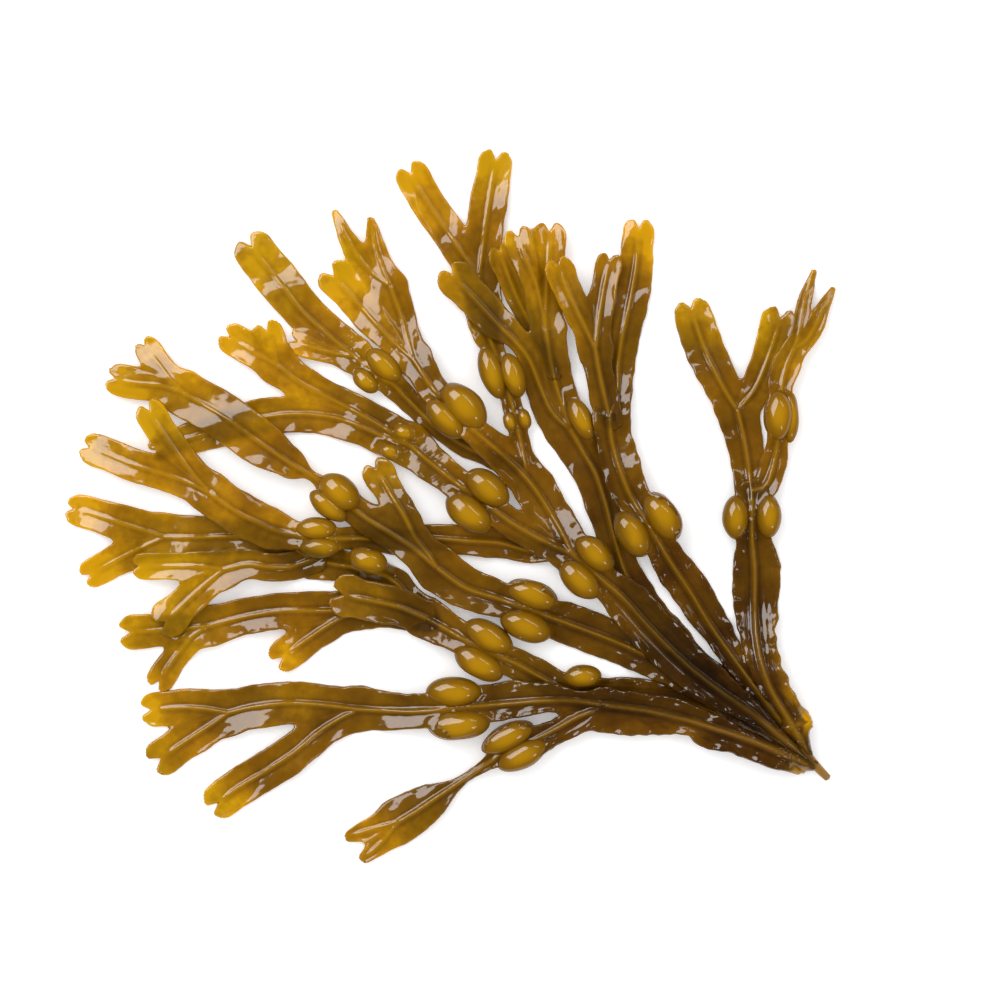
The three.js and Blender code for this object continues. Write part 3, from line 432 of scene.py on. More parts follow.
def smooth_curve(rows):
    """Many samples along a smooth curve through these points."""
    chords = np.linalg.norm(np.diff(rows[:, :3], axis=0), axis=1)
    knots = np.concatenate([[0], np.cumsum(np.sqrt(chords))])
    slopes = np.diff(rows, axis=0) / np.diff(knots)[:, None]
    turns = np.vstack([slopes[:1], slopes[:-1] + slopes[1:], slopes[-1:]])
    if len(rows) > 2:
        wide = (rows[2:] - rows[:-2]) / (knots[2:] - knots[:-2])[:, None]
        turns[1:-1] -= wide
    fine = []
    for i, gap in enumerate(np.diff(knots)):
        t = np.linspace(0, 1, CURVE_SAMPLES, endpoint=i == len(knots) - 2)[:, None]
        fine.append((2 * t**3 - 3 * t**2 + 1) * rows[i] + (t**3 - 2 * t**2 + t) * gap * turns[i]
                    + (3 * t**2 - 2 * t**3) * rows[i + 1] + (t**3 - t**2) * gap * turns[i + 1])
    return np.vstack(fine)


def trace(points, free):
    """Evenly spaced stations along a route, whose free end is a rounded tip."""
    fine = smooth_curve(full_rows(points))
    along = np.concatenate([[0], np.cumsum(np.linalg.norm(np.diff(fine[:, :2], axis=0), axis=1))])
    s = np.linspace(0, along[-1], max(3, round(along[-1] / STEP)))
    even = np.stack([np.interp(s, along, fine[:, k]) for k in range(5)], axis=1)
    heading = np.gradient(even[:, :2], axis=0)
    heading /= np.linalg.norm(heading, axis=1)[:, None]
    run = {"place": even[:, :2], "z": even[:, 2], "left": even[:, 3], "right": even[:, 4],
           "s": s, "heading": heading, "length": along[-1], "notch": 0.0, "free": free}
    if free:
        round_tip(run)
    return run


def round_tip(run):
    """A free tip is rounded, and a broad one is notched where its two lobes part."""
    end_width = max(run["left"][-1], run["right"][-1])
    if end_width > WIDE_TIP:
        spread = 1 + SPREAD * ease(run["s"], run["length"] - SPREAD_FROM, run["length"] - SPREAD_TO)
        run["left"], run["right"] = run["left"] * spread, run["right"] * spread
        end_width *= 1 + SPREAD
    rounding = min(TIP_ROUNDING * end_width, MOST_ROUNDING * run["length"])
    past = np.clip((run["s"] - run["length"] + rounding) / rounding, 0, 1)
    fade = np.maximum(1 - past**2.6, 0) ** (1 / 2.2)
    run["left"] = run["left"] * fade
    run["right"] = run["right"] * fade
    if end_width > NOTCHED_TIP:
        run["notch"] = NOTCH_DEPTH * end_width


def measure(run, x, y):
    """Where points lie against a route: their edge distance (negative inside), their place across
    it, its height and half width there, and how far along and past its end they are."""
    px, py = run["place"].T
    nearest = np.empty(x.shape, int)
    for i in range(0, len(x), CHUNK):
        part = slice(i, i + CHUNK)
        nearest[part] = ((x[part, None] - px) ** 2 + (y[part, None] - py) ** 2).argmin(1)
    dx, dy = x - px[nearest], y - py[nearest]
    tx, ty = run["heading"][nearest].T
    ahead = dx * tx + dy * ty
    across = -dx * ty + dy * tx
    width = np.where(across > 0, run["left"][nearest], run["right"][nearest])
    last = len(px) - 1
    before = np.where(nearest == 0, np.maximum(-ahead, 0), 0)
    over = np.where(nearest == last, np.maximum(ahead, 0), before)
    steep = np.gradient((run["left"] + run["right"]) / 2, run["s"])[nearest]
    edge = (np.hypot(over, across) - width) / np.sqrt(1 + np.clip(steep, -3, 3) ** 2)
    s = run["s"][nearest] + ahead
    if run["notch"]:
        past = s - (run["length"] - run["notch"])
        wedge = np.abs(across) * math.cos(NOTCH_ANGLE) - past * math.sin(NOTCH_ANGLE)
        edge = -smooth_min(-edge, wedge, NOTCH_SOFTNESS)
    return edge, across, run["z"][nearest], width, s, over


# ---- a sheet's fields

def window(points):
    """The block of the shared grid that covers these points, as its first cell and its shape."""
    low = np.floor((points.min(0) - MARGIN - ORIGIN) / CELL).astype(int)
    high = np.ceil((points.max(0) + MARGIN - ORIGIN) / CELL).astype(int)
    return low, high - low + 1


def grid_points(low, shape):
    columns = ORIGIN[0] + CELL * (low[0] + np.arange(shape[0]))
    lines = ORIGIN[1] + CELL * (low[1] + np.arange(shape[1]))
    return np.meshgrid(columns, lines, indexing="ij")


def block(fields):
    """A sheet's block as slices of the whole grid."""
    low, (columns, lines) = fields["low"], fields["outline"].shape
    return slice(low[0], low[0] + columns), slice(low[1], low[1] + lines)


BLENDED = ("z", "width", "wing", "across", "tip", "spine")   # what passes smoothly from arm to arm


def route_layer(run, x, y):
    """One route's fields on its sheet's block."""
    reach = MARGIN + max(run["left"].max(), run["right"].max())
    near = ((x > run["place"][:, 0].min() - reach) & (x < run["place"][:, 0].max() + reach)
            & (y > run["place"][:, 1].min() - reach) & (y < run["place"][:, 1].max() + reach))
    edge, across, z, width, s, over = measure(run, x[near], y[near])
    unreached = {"edge": FAR, "across": FAR, "z": 0, "width": 1, "rib": 0, "spine": 0, "tip": 0}
    layer = {key: np.full(x.shape, value, float) for key, value in unreached.items()}
    tip_fade = 1
    if run["free"]:
        tip_fade = ease(run["length"] - s, 0.5 + run["notch"], 6 + run["notch"])
        layer["tip"][near] = ease(s, run["length"] - TIP_GLOW, run["length"])
    rib_width = 0.42 + 0.4 * (1 - tone_of(x[near], y[near]))
    layer["edge"][near], layer["across"][near], layer["z"][near] = edge, across, z
    layer["width"][near] = np.maximum(width, 0.5)
    layer["spine"][near] = tip_fade
    layer["rib"][near] = np.exp(-(np.hypot(across, over) / rib_width) ** 2) * tip_fade
    layer["wing"] = np.clip(np.abs(layer["across"]) / layer["width"], 0, 1.2)
    layer["across"] = np.clip(layer["across"], -20, 20)
    return layer


def merge_layers(layers):
    """A sheet's fields from its routes': the outline is their union and the rest follows the nearest."""
    outline = layers[0]["edge"]
    for layer in layers[1:]:
        outline = smooth_min(outline, layer["edge"], WEB)
    nearest = np.minimum.reduce([layer["edge"] for layer in layers])
    weights = [np.exp(-np.clip(layer["edge"] - nearest, 0, 12) / ARM_BLEND) for layer in layers]
    total = sum(weights)
    fields = {key: sum(w * layer[key] for w, layer in zip(weights, layers)) / total for key in BLENDED}
    fields["outline"] = outline
    fields["spine"] = np.clip(fields["spine"], 0, 1)
    fields["rib"] = np.maximum.reduce([w * layer["rib"] for w, layer in zip(weights, layers)])
    return fields


def bladder_radius(place, x, y):
    """Distance from a bladder's middle as a share of its size, 1 at its outline."""
    bx, by, _, half_length, half_width, turn = place
    c, s = math.cos(math.radians(turn)), math.sin(math.radians(turn))
    dx, dy = x - bx, y - by
    return np.hypot((dx * c + dy * s) / half_length, (-dx * s + dy * c) / half_width)


def add_bladders(fields, bladders):
    """The sheet swells round each bladder, rises to its middle and puckers beside it."""
    x, y = fields["x"], fields["y"]
    swell, pucker = np.zeros_like(x), np.zeros_like(x)
    for place in bladders:
        ring = (bladder_radius(place, x, y) - 1) * place[4]
        fields["outline"] = smooth_min(fields["outline"], ring + 0.3, 1.0)
        pull = ease(-ring, -2.5, 1.0)
        fields["z"] = fields["z"] * (1 - pull) + place[2] * pull
        swell = np.maximum(swell, np.exp(-(np.maximum(ring, 0) / 0.75) ** 2))
        spoke = np.arctan2(y - place[1], x - place[0])
        beside = np.exp(-((ring - 1.3) / 1.1) ** 2)
        pucker += PUCKER_HEIGHT * np.sin(PUCKERS * spoke + place[0]) * beside
        fields["rib"] *= 1 - 0.6 * np.exp(-(np.maximum(ring, 0) / 0.8) ** 2)
    fields.update(swell=swell, pucker=pucker)


def sheet_fields(name, starts):
    """Outline, middle height, width and midrib of a sheet on its own block of the grid."""
    routes = [route for node in SHEETS[name] for route in ROUTES[node]]
    runs = [trace(route, route[-1][:2] not in starts) for route in routes]
    low, shape = window(np.vstack([run["place"] for run in runs]))
    x, y = grid_points(low, shape)
    fields = merge_layers([route_layer(run, x, y) for run in runs])
    tone = tone_of(x, y)
    frill = (0.38 - 0.24 * tone + 1.1 * np.maximum(glow_of(x, y), 0)) * ease(tone, 0.04, 0.12)
    seed = len(name)
    edge_ripple = ripple(x, y, EDGE_WAVE, seed) + FINE_EDGE_SHARE * ripple(x, y, FINE_EDGE_WAVE, seed + 2)
    fields["outline"] = fields["outline"] + frill * edge_ripple
    fields.update(x=x, y=y, low=low, tone=tone)
    add_bladders(fields, BLADDERS.get(name, []))
    return fields


def wavy_middle(fields, seed, waves):
    """The middle height with its long waves, ruffled wings and the crisp frills near the stem."""
    x, y, tone = fields["x"], fields["y"], fields["tone"]
    loose = ease(tone, 0.2, 0.6)
    wing2 = np.minimum(fields["wing"], 1.1) ** 2
    frilly = (1 - ease(tone, 0.3, 0.6)) * ease(tone, 0.04, 0.1) * (1 - np.clip(glow_of(x, y), 0, 1))
    z = fields["z"] + waves * loose * LONG_HEIGHT * ripple(x, y, LONG_WAVE, seed)
    z = z + (1.15 - 0.8 * tone) * waves * wing2 * ripple(x, y, WING_WAVE, seed + 3)
    z = z + FRILL_HEIGHT * frilly * waves * wing2**2 * ripple(x, y, FRILL_WAVE, seed + 6)
    curl = 0.45 + 0.9 * ripple(x, y, CURL_WAVE, seed + 5)   # more often up than down
    return z + wing2 * waves * curl * ease(tone, 0.05, 0.2) * CURL_HEIGHT


def shape_sheet(fields, seed, waves):
    """Adds the top and bottom heights: lamina, midrib, groove, strands, ruffled wings and waves."""
    x, y, outline, tone = fields["x"], fields["y"], fields["outline"], fields["tone"]
    gx, gy = np.gradient(outline, CELL)
    inside = np.clip(-outline / np.clip(np.hypot(gx, gy), 0.6, 3), 0, None)
    thick = HALF_THICKNESS - THINNING * tone
    half = thick * np.sqrt(1 - (1 - np.clip(inside / RIM, 0, 1)) ** 2)
    stalk = 1 - ease(tone, 0.05, 0.16)
    width = np.maximum(fields["width"], -outline)
    girth = 0.72 * np.sqrt(np.maximum(width**2 - (width + np.minimum(outline, 0)) ** 2, 0))
    half = np.maximum(half, stalk * np.minimum(girth, 1.6))
    rib_height = (2.25 - 3.2 * tone + 1.2 * tone**2) * (1 - stalk)
    z = wavy_middle(fields, seed, waves)
    top = half + fields["rib"] * rib_height + fields["swell"] * SWELL_HEIGHT * (half > 0.01)
    beside = np.exp(-((np.abs(fields["across"]) - 1.6 + 0.5 * tone) / 0.6) ** 2)
    groove = np.clip(beside * (1 - fields["wing"] ** 2), 0, 1) * (1 - 0.55 * tone) * fields["spine"]
    top = top - GROOVE_DEPTH * groove * (1 - stalk)
    strands = np.cos(fields["across"] * 2 * math.pi / STRAND_SPACING)
    strands = strands * np.exp(-(fields["across"] / STRAND_REACH) ** 2)
    near_stem = 1 - ease(tone, 0.25, 0.6)
    top = top + STRAND_HEIGHT * strands * near_stem * fields["spine"] * ease(inside, 0.3, 1.5)
    top = top + SKIN_HEIGHT * ripple(x, y, SKIN_WAVE, seed + 8) * ease(inside, 0.2, 1.0)
    top = top + fields["pucker"] * ease(inside, 0.2, 1.0)
    bottom = half + fields["rib"] * rib_height * LOWER_RIB
    lift = bottom - z
    z = z + np.maximum(lift, 0) + FLOOR_GAP
    glow = glow_of(x, y)
    warm = np.where(glow > 0, glow * ease(inside, 4.0, 1.6), glow)
    light = np.clip(0.84 * tone + 0.2 * fields["tip"] + warm, 0, 1.1)
    fields.update(top=z + top, bottom=z - bottom, middle=z, inside=inside, groove=groove, light=light)


# ---- from fields to a closed mesh

def close_slits(value, triangles):
    """Fills a slit of no width, whose edges would have four faces, by taking its points inside."""
    while True:
        corners = value[triangles]
        beside = triangles[((corners < 0).sum(1) == 1) & ((corners == 0).sum(1) == 2)]
        pairs = np.sort(beside[value[beside] == 0].reshape(-1, 2), axis=1)
        slits, count = np.unique(pairs, axis=0, return_counts=True)
        if not (count > 1).any():
            return
        value[slits[count > 1][:, 0]] = -0.01


def grid_triangles(shape):
    """Two triangles for each cell of a block, with the cut turned in every other cell."""
    columns, lines = shape
    index = np.arange(columns * lines).reshape(columns, lines)
    a, b = index[:-1, :-1], index[1:, :-1]
    c, d = index[1:, 1:], index[:-1, 1:]
    flip = (np.add.outer(np.arange(columns - 1), np.arange(lines - 1)) % 2).astype(bool)
    first = np.where(flip[..., None], np.stack([a, b, d], -1), np.stack([a, b, c], -1))
    second = np.where(flip[..., None], np.stack([b, c, d], -1), np.stack([a, c, d], -1))
    return np.vstack([first.reshape(-1, 3), second.reshape(-1, 3)])


SNAP = 0.28 * CELL   # a grid point this near the outline moves on to it
SNAP_REACH = 0.4 * CELL   # by no more than this
FLATTEST = 0.3   # and as if the squared slope there were at least this


def cut_mesh(fields):
    """Cuts the grid along the outline. Returns its points, which of them are inside, the triangles
    that are whole, the new points on its edges and the triangles made with them."""
    outline = fields["outline"].copy()
    x, y = fields["x"].copy(), fields["y"].copy()
    gx, gy = np.gradient(outline, CELL)
    slope2 = np.maximum(gx**2 + gy**2, FLATTEST)
    snap = np.abs(outline) < SNAP
    shift = np.clip(outline / slope2, -SNAP_REACH, SNAP_REACH)
    x[snap] -= (shift * gx)[snap]
    y[snap] -= (shift * gy)[snap]
    outline[snap] = 0.0
    triangles = grid_triangles(outline.shape)
    value = outline.ravel()
    close_slits(value, triangles)
    inner = value < 0
    count = inner[triangles].sum(1)
    whole = triangles[count == 3]
    rim = {}
    made = []

    def crossing(i, o):
        if value[o] == 0:
            return ("node", o)
        key = (i, o)
        if key not in rim:
            rim[key] = value[i] / (value[i] - value[o])
        return ("rim", key)

    for tri in triangles[count == 1]:
        k = int(np.argmax(inner[tri]))
        i, p, q = tri[k], tri[(k + 1) % 3], tri[(k + 2) % 3]
        made.append((("node", i), crossing(i, p), crossing(i, q)))
    for tri in triangles[count == 2]:
        k = int(np.argmin(inner[tri]))
        o, p, q = tri[k], tri[(k + 1) % 3], tri[(k + 2) % 3]
        cp, cq = crossing(p, o), crossing(q, o)
        made.append((("node", p), ("node", q), cq))
        if cp != cq:
            made.append((("node", p), cq, cp))
    return x.ravel(), y.ravel(), inner, whole, rim, made


LOOKS = ("light", "rib", "groove", "inside", "swell", "overlap_shade")   # what the colours read


def sheet_mesh(fields):
    """Top and bottom skins that share the points of their rim."""
    x, y, inner, whole, rim, made = cut_mesh(fields)
    rim_keys = list(rim)
    share = np.array([rim[key] for key in rim_keys])
    ends = np.array(rim_keys).reshape(-1, 2)
    touched = [key for tri in made for kind, key in tri if kind == "node" and not inner[key]]
    on_rim = np.array(sorted(set(touched)), int)
    core = np.flatnonzero(inner)
    flat = {key: fields[key].ravel() for key in ("top", "bottom", "middle", *LOOKS)}
    flat["top"] = np.maximum(flat["top"], flat["bottom"] + THINNEST)

    def mix(values):
        return values[ends[:, 0]] * (1 - share) + values[ends[:, 1]] * share

    top_id = np.full(len(x), -1)
    low_id = np.full(len(x), -1)
    top_id[core] = np.arange(len(core))
    low_id[core] = np.arange(len(core)) + len(core)
    base = 2 * len(core)
    top_id[on_rim] = low_id[on_rim] = base + np.arange(len(on_rim))
    base += len(on_rim)
    rim_id = {key: base + i for i, key in enumerate(rim_keys)}
    places = np.concatenate([
        np.stack([x[core], y[core], flat["top"][core]], 1),
        np.stack([x[core], y[core], flat["bottom"][core]], 1),
        np.stack([x[on_rim], y[on_rim], flat["middle"][on_rim]], 1),
        np.stack([mix(x), mix(y), mix(flat["middle"])], 1)])
    looks = {key: np.concatenate([flat[key][core], flat[key][core], flat[key][on_rim], mix(flat[key])])
             for key in LOOKS}

    def ids(skin):
        rows = skin[whole]
        cut = [[skin[key] if kind == "node" else rim_id[key] for kind, key in tri] for tri in made]
        return np.vstack([rows, np.array(cut, int).reshape(-1, 3)])

    up, down = ids(top_id), ids(low_id)[:, ::-1]
    return places, np.vstack([up, down]), looks


BLADDER_RINGS = 30
BLADDER_SPOKES = 28
EGG_BELLY, EGG_ENDS = 2.15, 0.56   # powers that give an egg's profile its full belly and drawn-in ends
EGG_STRETCH = 1.02   # a bladder runs this far into the blade past its outline
EGG_HEIGHT = 0.92   # its height as a share of its width
LOWEST_SKIN = 0.03   # no bladder's skin is lower than this


def egg_triangles():
    """The faces of a bladder: bands between its rings, and a fan at each end."""
    rows = BLADDER_RINGS - 1
    a = np.arange(rows * BLADDER_SPOKES).reshape(rows, BLADDER_SPOKES)
    b = np.roll(a, -1, axis=1)
    quads = np.concatenate([
        np.stack([a[:-1], a[1:], b[1:]], -1).reshape(-1, 3),
        np.stack([a[:-1], b[1:], b[:-1]], -1).reshape(-1, 3)])
    first, last = rows * BLADDER_SPOKES, rows * BLADDER_SPOKES + 1
    caps = np.concatenate([
        np.stack([np.full(BLADDER_SPOKES, first), a[0], b[0]], 1),
        np.stack([np.full(BLADDER_SPOKES, last), b[-1], a[-1]], 1)])
    return np.vstack([quads, caps])[:, ::-1]


def bladder_mesh(place, seed, beneath):
    """An air bladder: an egg with drawn-in ends and a faintly dented skin."""
    bx, by, bz, half_length, half_width, turn = place
    rings = -np.cos(np.pi * np.arange(1, BLADDER_RINGS) / BLADDER_RINGS)
    spokes = 2 * np.pi * np.arange(BLADDER_SPOKES) / BLADDER_SPOKES
    u, angle = np.meshgrid(rings, spokes, indexing="ij")
    girth = (1 - np.abs(u) ** EGG_BELLY) ** EGG_ENDS
    dent = 1 + 0.025 * np.sin(2 * angle + 3 * u + seed) + 0.015 * np.sin(5 * u + 3 * angle + 2 * seed)
    along = half_length * u * EGG_STRETCH
    side = half_width * girth * np.cos(angle) * dent
    up = half_width * EGG_HEIGHT * girth * np.sin(angle) * dent
    points = np.stack([along.ravel(), side.ravel(), up.ravel()], 1)
    end = half_length * EGG_STRETCH
    points = np.vstack([points, [[-end, 0, 0], [end, 0, 0]]])
    c, s = math.cos(math.radians(turn)), math.sin(math.radians(turn))
    x = bx + points[:, 0] * c - points[:, 1] * s
    y = by + points[:, 0] * s + points[:, 1] * c
    z = np.maximum(bz + points[:, 2], LOWEST_SKIN)
    column = ((x - ORIGIN[0]) / CELL).round().astype(int)
    line = ((y - ORIGIN[1]) / CELL).round().astype(int)
    none = np.zeros(len(x))
    looks = {"light": tone_of(x, y), "rib": none, "groove": none, "inside": none + 4,
             # Painted light and shade: this value rises from the bladder's sides to its crown, and the
             # colour goes from dark to light with it.
             "swell": 1 + np.clip((z - bz) / (0.9 * half_width), 0, 1),
             # Painted shade where other sheets lie at the bladder.
             "overlap_shade": 0.6 * beneath[column, line]}
    return np.stack([x, y, z], 1), egg_triangles(), looks


def join_parts(parts):
    """One mesh from several, each with its places, triangles and looks."""
    bases = np.cumsum([0] + [len(places) for places, _, _ in parts])
    triangles = [faces + base for (_, faces, _), base in zip(parts, bases)]
    looks = {key: np.concatenate([look[key] for _, _, look in parts]) for key in LOOKS}
    return np.vstack([places for places, _, _ in parts]), np.vstack(triangles), looks


def make_object(name, places, triangles, looks, material):
    mesh = bpy.data.meshes.new(name)
    mesh.vertices.add(len(places))
    mesh.vertices.foreach_set("co", (places * MM).astype(np.float32).ravel())
    mesh.loops.add(len(triangles) * 3)
    mesh.loops.foreach_set("vertex_index", triangles.astype(np.int32).ravel())
    mesh.polygons.add(len(triangles))
    mesh.polygons.foreach_set("loop_start", np.arange(len(triangles), dtype=np.int32) * 3)
    mesh.polygons.foreach_set("use_smooth", np.ones(len(triangles), bool))
    mesh.update(calc_edges=True)
    mesh.validate()
    for key, values in looks.items():
        attribute = mesh.attributes.new(key, "FLOAT", "POINT")
        attribute.data.foreach_set("value", values.astype(np.float32))
    mesh.materials.append(material)
    piece = bpy.data.objects.new(name, mesh)
    bpy.context.scene.collection.objects.link(piece)
    return piece


# ---- shader nodes

def node(tree, kind, **values):
    """A shader node with its inputs and settings given by name."""
    made = tree.nodes.new(kind)
    for key, value in values.items():
        if key in made.inputs:
            made.inputs[key].default_value = value
        else:
            setattr(made, key, value)
    return made


def wire(tree, source, target):
    tree.links.new(source, target)


def attribute(tree, name):
    return node(tree, "ShaderNodeAttribute", attribute_name=name).outputs["Fac"]


def math_node(tree, operation, a, b=None):
    made = node(tree, "ShaderNodeMath", operation=operation)
    for slot, value in zip(made.inputs, (a, b)):
        if isinstance(value, (int, float)):
            slot.default_value = value
        elif value is not None:
            wire(tree, value, slot)
    return made.outputs[0]


def mix_colour(tree, factor, a, b, blend="MIX"):
    made = node(tree, "ShaderNodeMix", data_type="RGBA", blend_type=blend)
    for slot, value in ((made.inputs[0], factor), (made.inputs[6], a), (made.inputs[7], b)):
        if isinstance(value, (int, float, tuple)):
            slot.default_value = value
        else:
            wire(tree, value, slot)
    return made.outputs[2]


def multiply(tree, a, b):
    return mix_colour(tree, 1.0, a, b, "MULTIPLY")


def ramp(tree, factor, stops):
    made = node(tree, "ShaderNodeValToRGB")
    elements = made.color_ramp.elements
    while len(elements) < len(stops):
        elements.new(0.5)
    for element, (place, colour) in zip(elements, stops):
        element.position, element.color = place, (*colour, 1)
    wire(tree, factor, made.inputs[0])
    return made.outputs[0]


def remap(tree, value, source, target):
    """A value moved from one range to another, and kept inside it."""
    made = node(tree, "ShaderNodeMapRange", **{"From Min": source[0], "From Max": source[1],
                                               "To Min": target[0], "To Max": target[1]})
    wire(tree, value, made.inputs["Value"])
    return made.outputs[0]


def noise(tree, scale, detail=3.0, roughness=0.55, offset=(0, 0, 0)):
    place = node(tree, "ShaderNodeTexCoord").outputs["Object"]
    moved = node(tree, "ShaderNodeMapping", Location=offset)
    wire(tree, place, moved.inputs["Vector"])
    made = node(tree, "ShaderNodeTexNoise", Scale=scale, Detail=detail, Roughness=roughness)
    wire(tree, moved.outputs[0], made.inputs["Vector"])
    return made.outputs[0]


def swing(tree, pattern, amount):
    """A noise pattern as a shift either way."""
    return math_node(tree, "MULTIPLY", math_node(tree, "SUBTRACT", pattern, 0.5), amount)


# ---- materials

TISSUE = [  # colour from the stem end to the tips
    (0.0, (0.040, 0.0135, 0.0006)),
    (0.22, (0.088, 0.0320, 0.0006)),
    (0.42, (0.138, 0.0550, 0.0008)),
    (0.62, (0.205, 0.0840, 0.0008)),
    (0.80, (0.335, 0.1450, 0.0008)),
    (0.93, (0.480, 0.2210, 0.0008)),
    (1.0, (0.610, 0.2980, 0.0008)),
]

STIPE = [  # the cut end's tan brown, from its darker flecks to its lighter ones
    (0.0, (0.190, 0.088, 0.022)),
    (0.25, (0.310, 0.155, 0.040)),
    (1.0, (0.420, 0.230, 0.060)),
]

BLADDER_SHADING = [  # colour from a bladder's side to its crown: painted shade at the sides, painted light on the crown
    (0.0, (0.115, 0.045, 0.0008)),
    (0.45, (0.175, 0.078, 0.0008)),
    (0.80, (0.265, 0.125, 0.0008)),
    (1.0, (0.460, 0.232, 0.0008)),
]

BLOTCH, OLIVE, MOTTLE, SPECKLE = 55, 30, 420, 2400   # noise scales; a larger one is finer
BLOTCH_SHIFT, MOTTLE_SHIFT = 0.95, 0.26  # how far they move the tissue's colour along its stops
RIB_SHARE = 0.62   # how much of the midrib's own colour shows
OLIVE_PATCHES = [(0.4, (0, 0, 0)), (0.62, (0.75, 0.75, 0.75))]   # where the noise makes it olive
OLIVE_TINT = (0.80, 0.90, 0.9, 1)
# Painted shade for the grooves beside the midrib.
GROOVE_SHADE_TINT = (0.55, 0.5, 0.6, 1)
# Painted glow of light through the thin rim.
RIM_GLOW_TINT = (1.65, 1.6, 1.2, 1)
DARK_RIB, LIGHT_RIB = (0.250, 0.120, 0.012, 1), (0.470, 0.235, 0.002, 1)

WATER_FILM = {  # a clear coat over tissue that has almost no gloss of its own
    "Specular IOR Level": 0.03,
    "IOR": 1.42,
    "Coat Weight": 0.95,
    "Coat Roughness": 0.09,
    "Coat IOR": 1.4,
}

FLOOR = {  # pale and a little self-lit, so that the gaps between the blades stay white
    "Base Color": (0.95, 0.95, 0.95, 1),
    "Roughness": 0.9,
    "Specular IOR Level": 0.1,
    "Emission Color": (1, 1, 1, 1),
    "Emission Strength": 0.22,
}


def new_material(name, values):
    """A material, and its shader with these inputs."""
    material = bpy.data.materials.new(name)
    material.use_nodes = True
    shader = material.node_tree.nodes["Principled BSDF"]
    for key, value in values.items():
        shader.inputs[key].default_value = value
    return material, shader


def tissue_colour(tree, tissue, mottle):
    """The lamina's blotched colour and midrib, with painted shade in its grooves and a painted glow of
    light through its thin rim.
    """
    tone = math_node(tree, "ADD", attribute(tree, "light"), swing(tree, noise(tree, BLOTCH), BLOTCH_SHIFT))
    tone = math_node(tree, "ADD", tone, swing(tree, mottle, MOTTLE_SHIFT))
    colour = ramp(tree, tone, tissue)
    olive = ramp(tree, noise(tree, OLIVE, 2, 0.5, (7, 2, 0)), OLIVE_PATCHES)
    colour = mix_colour(tree, olive, colour, multiply(tree, colour, OLIVE_TINT))
    # Painted shade: the tissue is darkened in the groove beside the midrib.
    groove = multiply(tree, colour, GROOVE_SHADE_TINT)
    colour = mix_colour(tree, attribute(tree, "groove"), colour, groove)
    ridge = mix_colour(tree, attribute(tree, "light"), DARK_RIB, LIGHT_RIB)
    rib = math_node(tree, "MULTIPLY", attribute(tree, "rib"), RIB_SHARE)
    colour = mix_colour(tree, rib, colour, ridge)
    # Painted light: the thin rim is lightened, as a glow of light through it.
    rim = remap(tree, attribute(tree, "inside"), (0.0, 1.3), (0.3, 0.0))
    return mix_colour(tree, rim, colour, multiply(tree, colour, RIM_GLOW_TINT))


def bladders_over(tree, colour):
    """The bladders' colour over the lamina's, painted darker at their sides and lighter at their crowns as
    shade and light; `swell` is over 1 only on a bladder.
    """
    skin = ramp(tree, math_node(tree, "SUBTRACT", attribute(tree, "swell"), 1.0), BLADDER_SHADING)
    is_bladder = remap(tree, attribute(tree, "swell"), (1.0, 1.02), (0.0, 0.8))
    return mix_colour(tree, is_bladder, colour, skin)


def shaded(tree, colour):
    """Painted shade: darker where other blades lie under or over it, where less light comes through the
    tissue.
    """
    shade = remap(tree, attribute(tree, "overlap_shade"), (0.0, 2.0), (1.0, 0.2))
    grey = node(tree, "ShaderNodeCombineColor")
    for channel in range(3):
        wire(tree, shade, grey.inputs[channel])
    return multiply(tree, colour, grey.outputs[0])


def bump_of(tree, height, strength):
    """Relief up to 0.3 mm high that only the light sees."""
    made = node(tree, "ShaderNodeBump", Strength=strength, Distance=0.3 * MM)
    wire(tree, height, made.inputs["Height"])
    return made.outputs[0]


def wet_skin(name, tissue):
    """Wet seaweed: tissue of these colours under a film of water."""
    material, shader = new_material(name, WATER_FILM)
    tree = material.node_tree
    mottle = noise(tree, MOTTLE, 4, 0.6, (3, 1, 0))
    speckle = noise(tree, SPECKLE, 2, 0.5, (1, 5, 0))
    colour = bladders_over(tree, tissue_colour(tree, tissue, mottle))
    wire(tree, shaded(tree, colour), shader.inputs["Base Color"])
    wire(tree, remap(tree, mottle, (0.0, 1.0), (0.26, 0.5)), shader.inputs["Roughness"])
    grain = math_node(tree, "ADD", mottle, math_node(tree, "MULTIPLY", speckle, 0.22))
    wire(tree, bump_of(tree, grain, 0.2), shader.inputs["Normal"])
    wire(tree, bump_of(tree, mottle, 0.06), shader.inputs["Coat Normal"])
    return material


# ---- the frond

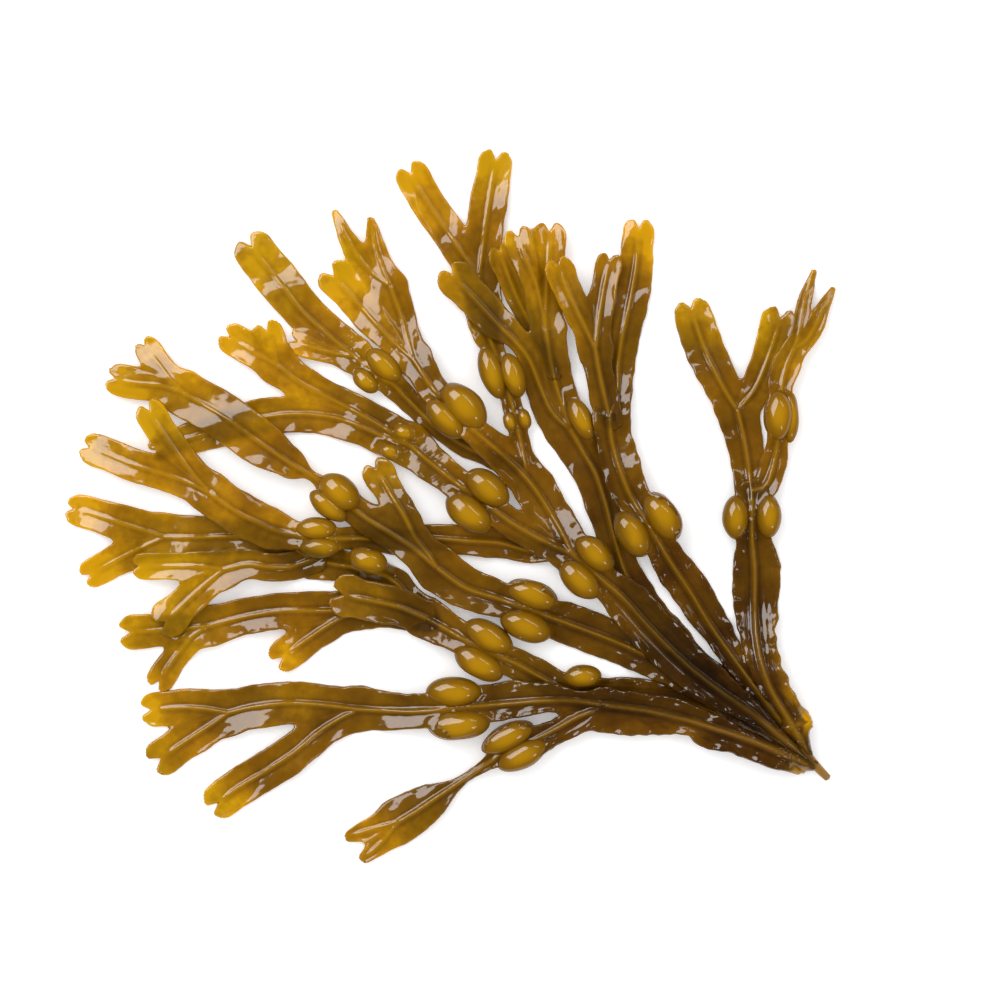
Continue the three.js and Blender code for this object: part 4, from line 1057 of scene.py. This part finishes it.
def build_frond(materials):
    starts = {route[0][:2] for routes in ROUTES.values() for route in routes}
    layers = np.zeros(np.ceil(-2 * ORIGIN / CELL).astype(int) + 1)
    every, own = {}, {}
    for name in SHEETS:
        fields = every[name] = sheet_fields(name, starts)
        own[name] = ease(-fields["outline"], -0.2, 2.2)
        layers[block(fields)] += own[name]
    for seed, (name, nodes) in enumerate(SHEETS.items()):
        fields = every[name]
        is_stipe = name == "frond_stipe"
        shape_sheet(fields, seed + 1, waves=0 if is_stipe else 1)
        # Painted shade: the count of other sheets at a place darkens the tissue there, and less so on the
        # upper sheets.
        overlap_shade = np.minimum(layers[block(fields)] - own[name], 1.6 - 0.4 * fields["tone"])
        fields["overlap_shade"] = 0.4 * overlap_shade if name.endswith("upper") else overlap_shade
        beneath = layers.copy()
        beneath[block(fields)] -= own[name]
        parts = [sheet_mesh(fields)]
        for k, place in enumerate(BLADDERS.get(name, [])):
            parts.append(bladder_mesh(place, k + seed, beneath))
        slot = "stipe_skin" if is_stipe else "frond_skin"
        piece = make_object(name, *join_parts(parts), materials[slot])
        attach(piece, "root")
        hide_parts(*nodes)


# ---- camera, light and floor

VIEW_MIDDLE = (15.3, 1.2)   # the point on the floor that the camera looks straight down at
VIEW_WIDTH = 300.0
LENS, SENSOR = 100.0, 36.0
FLOOR_DROP = 0.2   # the floor's top is this far below the frond, so that the two don't mix


def add_camera():
    camera = bpy.data.cameras.new("camera")
    camera.lens, camera.sensor_width = LENS, SENSOR
    camera.clip_start, camera.clip_end = 0.01, 20
    holder = bpy.data.objects.new("camera", camera)
    holder.location = (VIEW_MIDDLE[0] * MM, VIEW_MIDDLE[1] * MM, VIEW_WIDTH * LENS / SENSOR * MM)
    bpy.context.scene.collection.objects.link(holder)
    bpy.context.scene.camera = holder


def add_softbox(name, place, size, power, lights):
    """A rectangle of white light, turned to the frond, that lights only its gloss or only its colour."""
    light = bpy.data.lights.new(name, "AREA")
    light.shape, light.size, light.size_y, light.energy = "RECTANGLE", size[0], size[1], power
    holder = bpy.data.objects.new(name, light)
    holder.location = place
    holder.rotation_euler = (-holder.location).to_track_quat("-Z", "Y").to_euler()
    holder.visible_glossy, holder.visible_diffuse = lights == "gloss", lights == "colour"
    bpy.context.scene.collection.objects.link(holder)


def add_floor():
    bpy.ops.mesh.primitive_plane_add(size=12, location=(0, 0, -FLOOR_DROP * MM))
    floor = bpy.context.object
    floor.name = "floor"
    material, _ = new_material("floor", FLOOR)
    floor.data.materials.append(material)


def add_world(strength, mirrored):
    """Even white light from all round, dimmer where the wet skin mirrors it so that it keeps its colour."""
    world = bpy.data.worlds.new("world")
    world.use_nodes = True
    tree = world.node_tree
    background = tree.nodes["Background"]
    background.inputs["Color"].default_value = (1, 1, 1, 1)
    is_mirrored = node(tree, "ShaderNodeLightPath").outputs["Is Glossy Ray"]
    loss = math_node(tree, "MULTIPLY", is_mirrored, strength - mirrored)
    wire(tree, math_node(tree, "SUBTRACT", strength, loss), background.inputs["Strength"])
    bpy.context.scene.world = world


KEY_PLACE = (-0.42, 0.46, 0.74)   # the main light, in metres, as all the lights are

bpy.context.scene.view_settings.view_transform = "Standard"
add_camera()
add_floor()
add_world(strength=0.94, mirrored=0.05)
add_softbox("shine", KEY_PLACE, size=(0.85, 0.62), power=16.0, lights="gloss")
add_softbox("key", KEY_PLACE, size=(0.62, 0.5), power=3.2, lights="colour")
add_softbox("fill", (0.8, -0.45, 0.45), size=(0.5, 0.5), power=1.0, lights="colour")
add_softbox("strip", (0.44, 0.47, 0.76), size=(0.5, 0.12), power=1.1, lights="gloss")
add_softbox("glint", (0.5, -0.45, 0.62), size=(0.16, 0.16), power=0.7, lights="gloss")
build_frond({"stipe_skin": wet_skin("stipe_skin", STIPE), "frond_skin": wet_skin("frond_skin", TISSUE)})
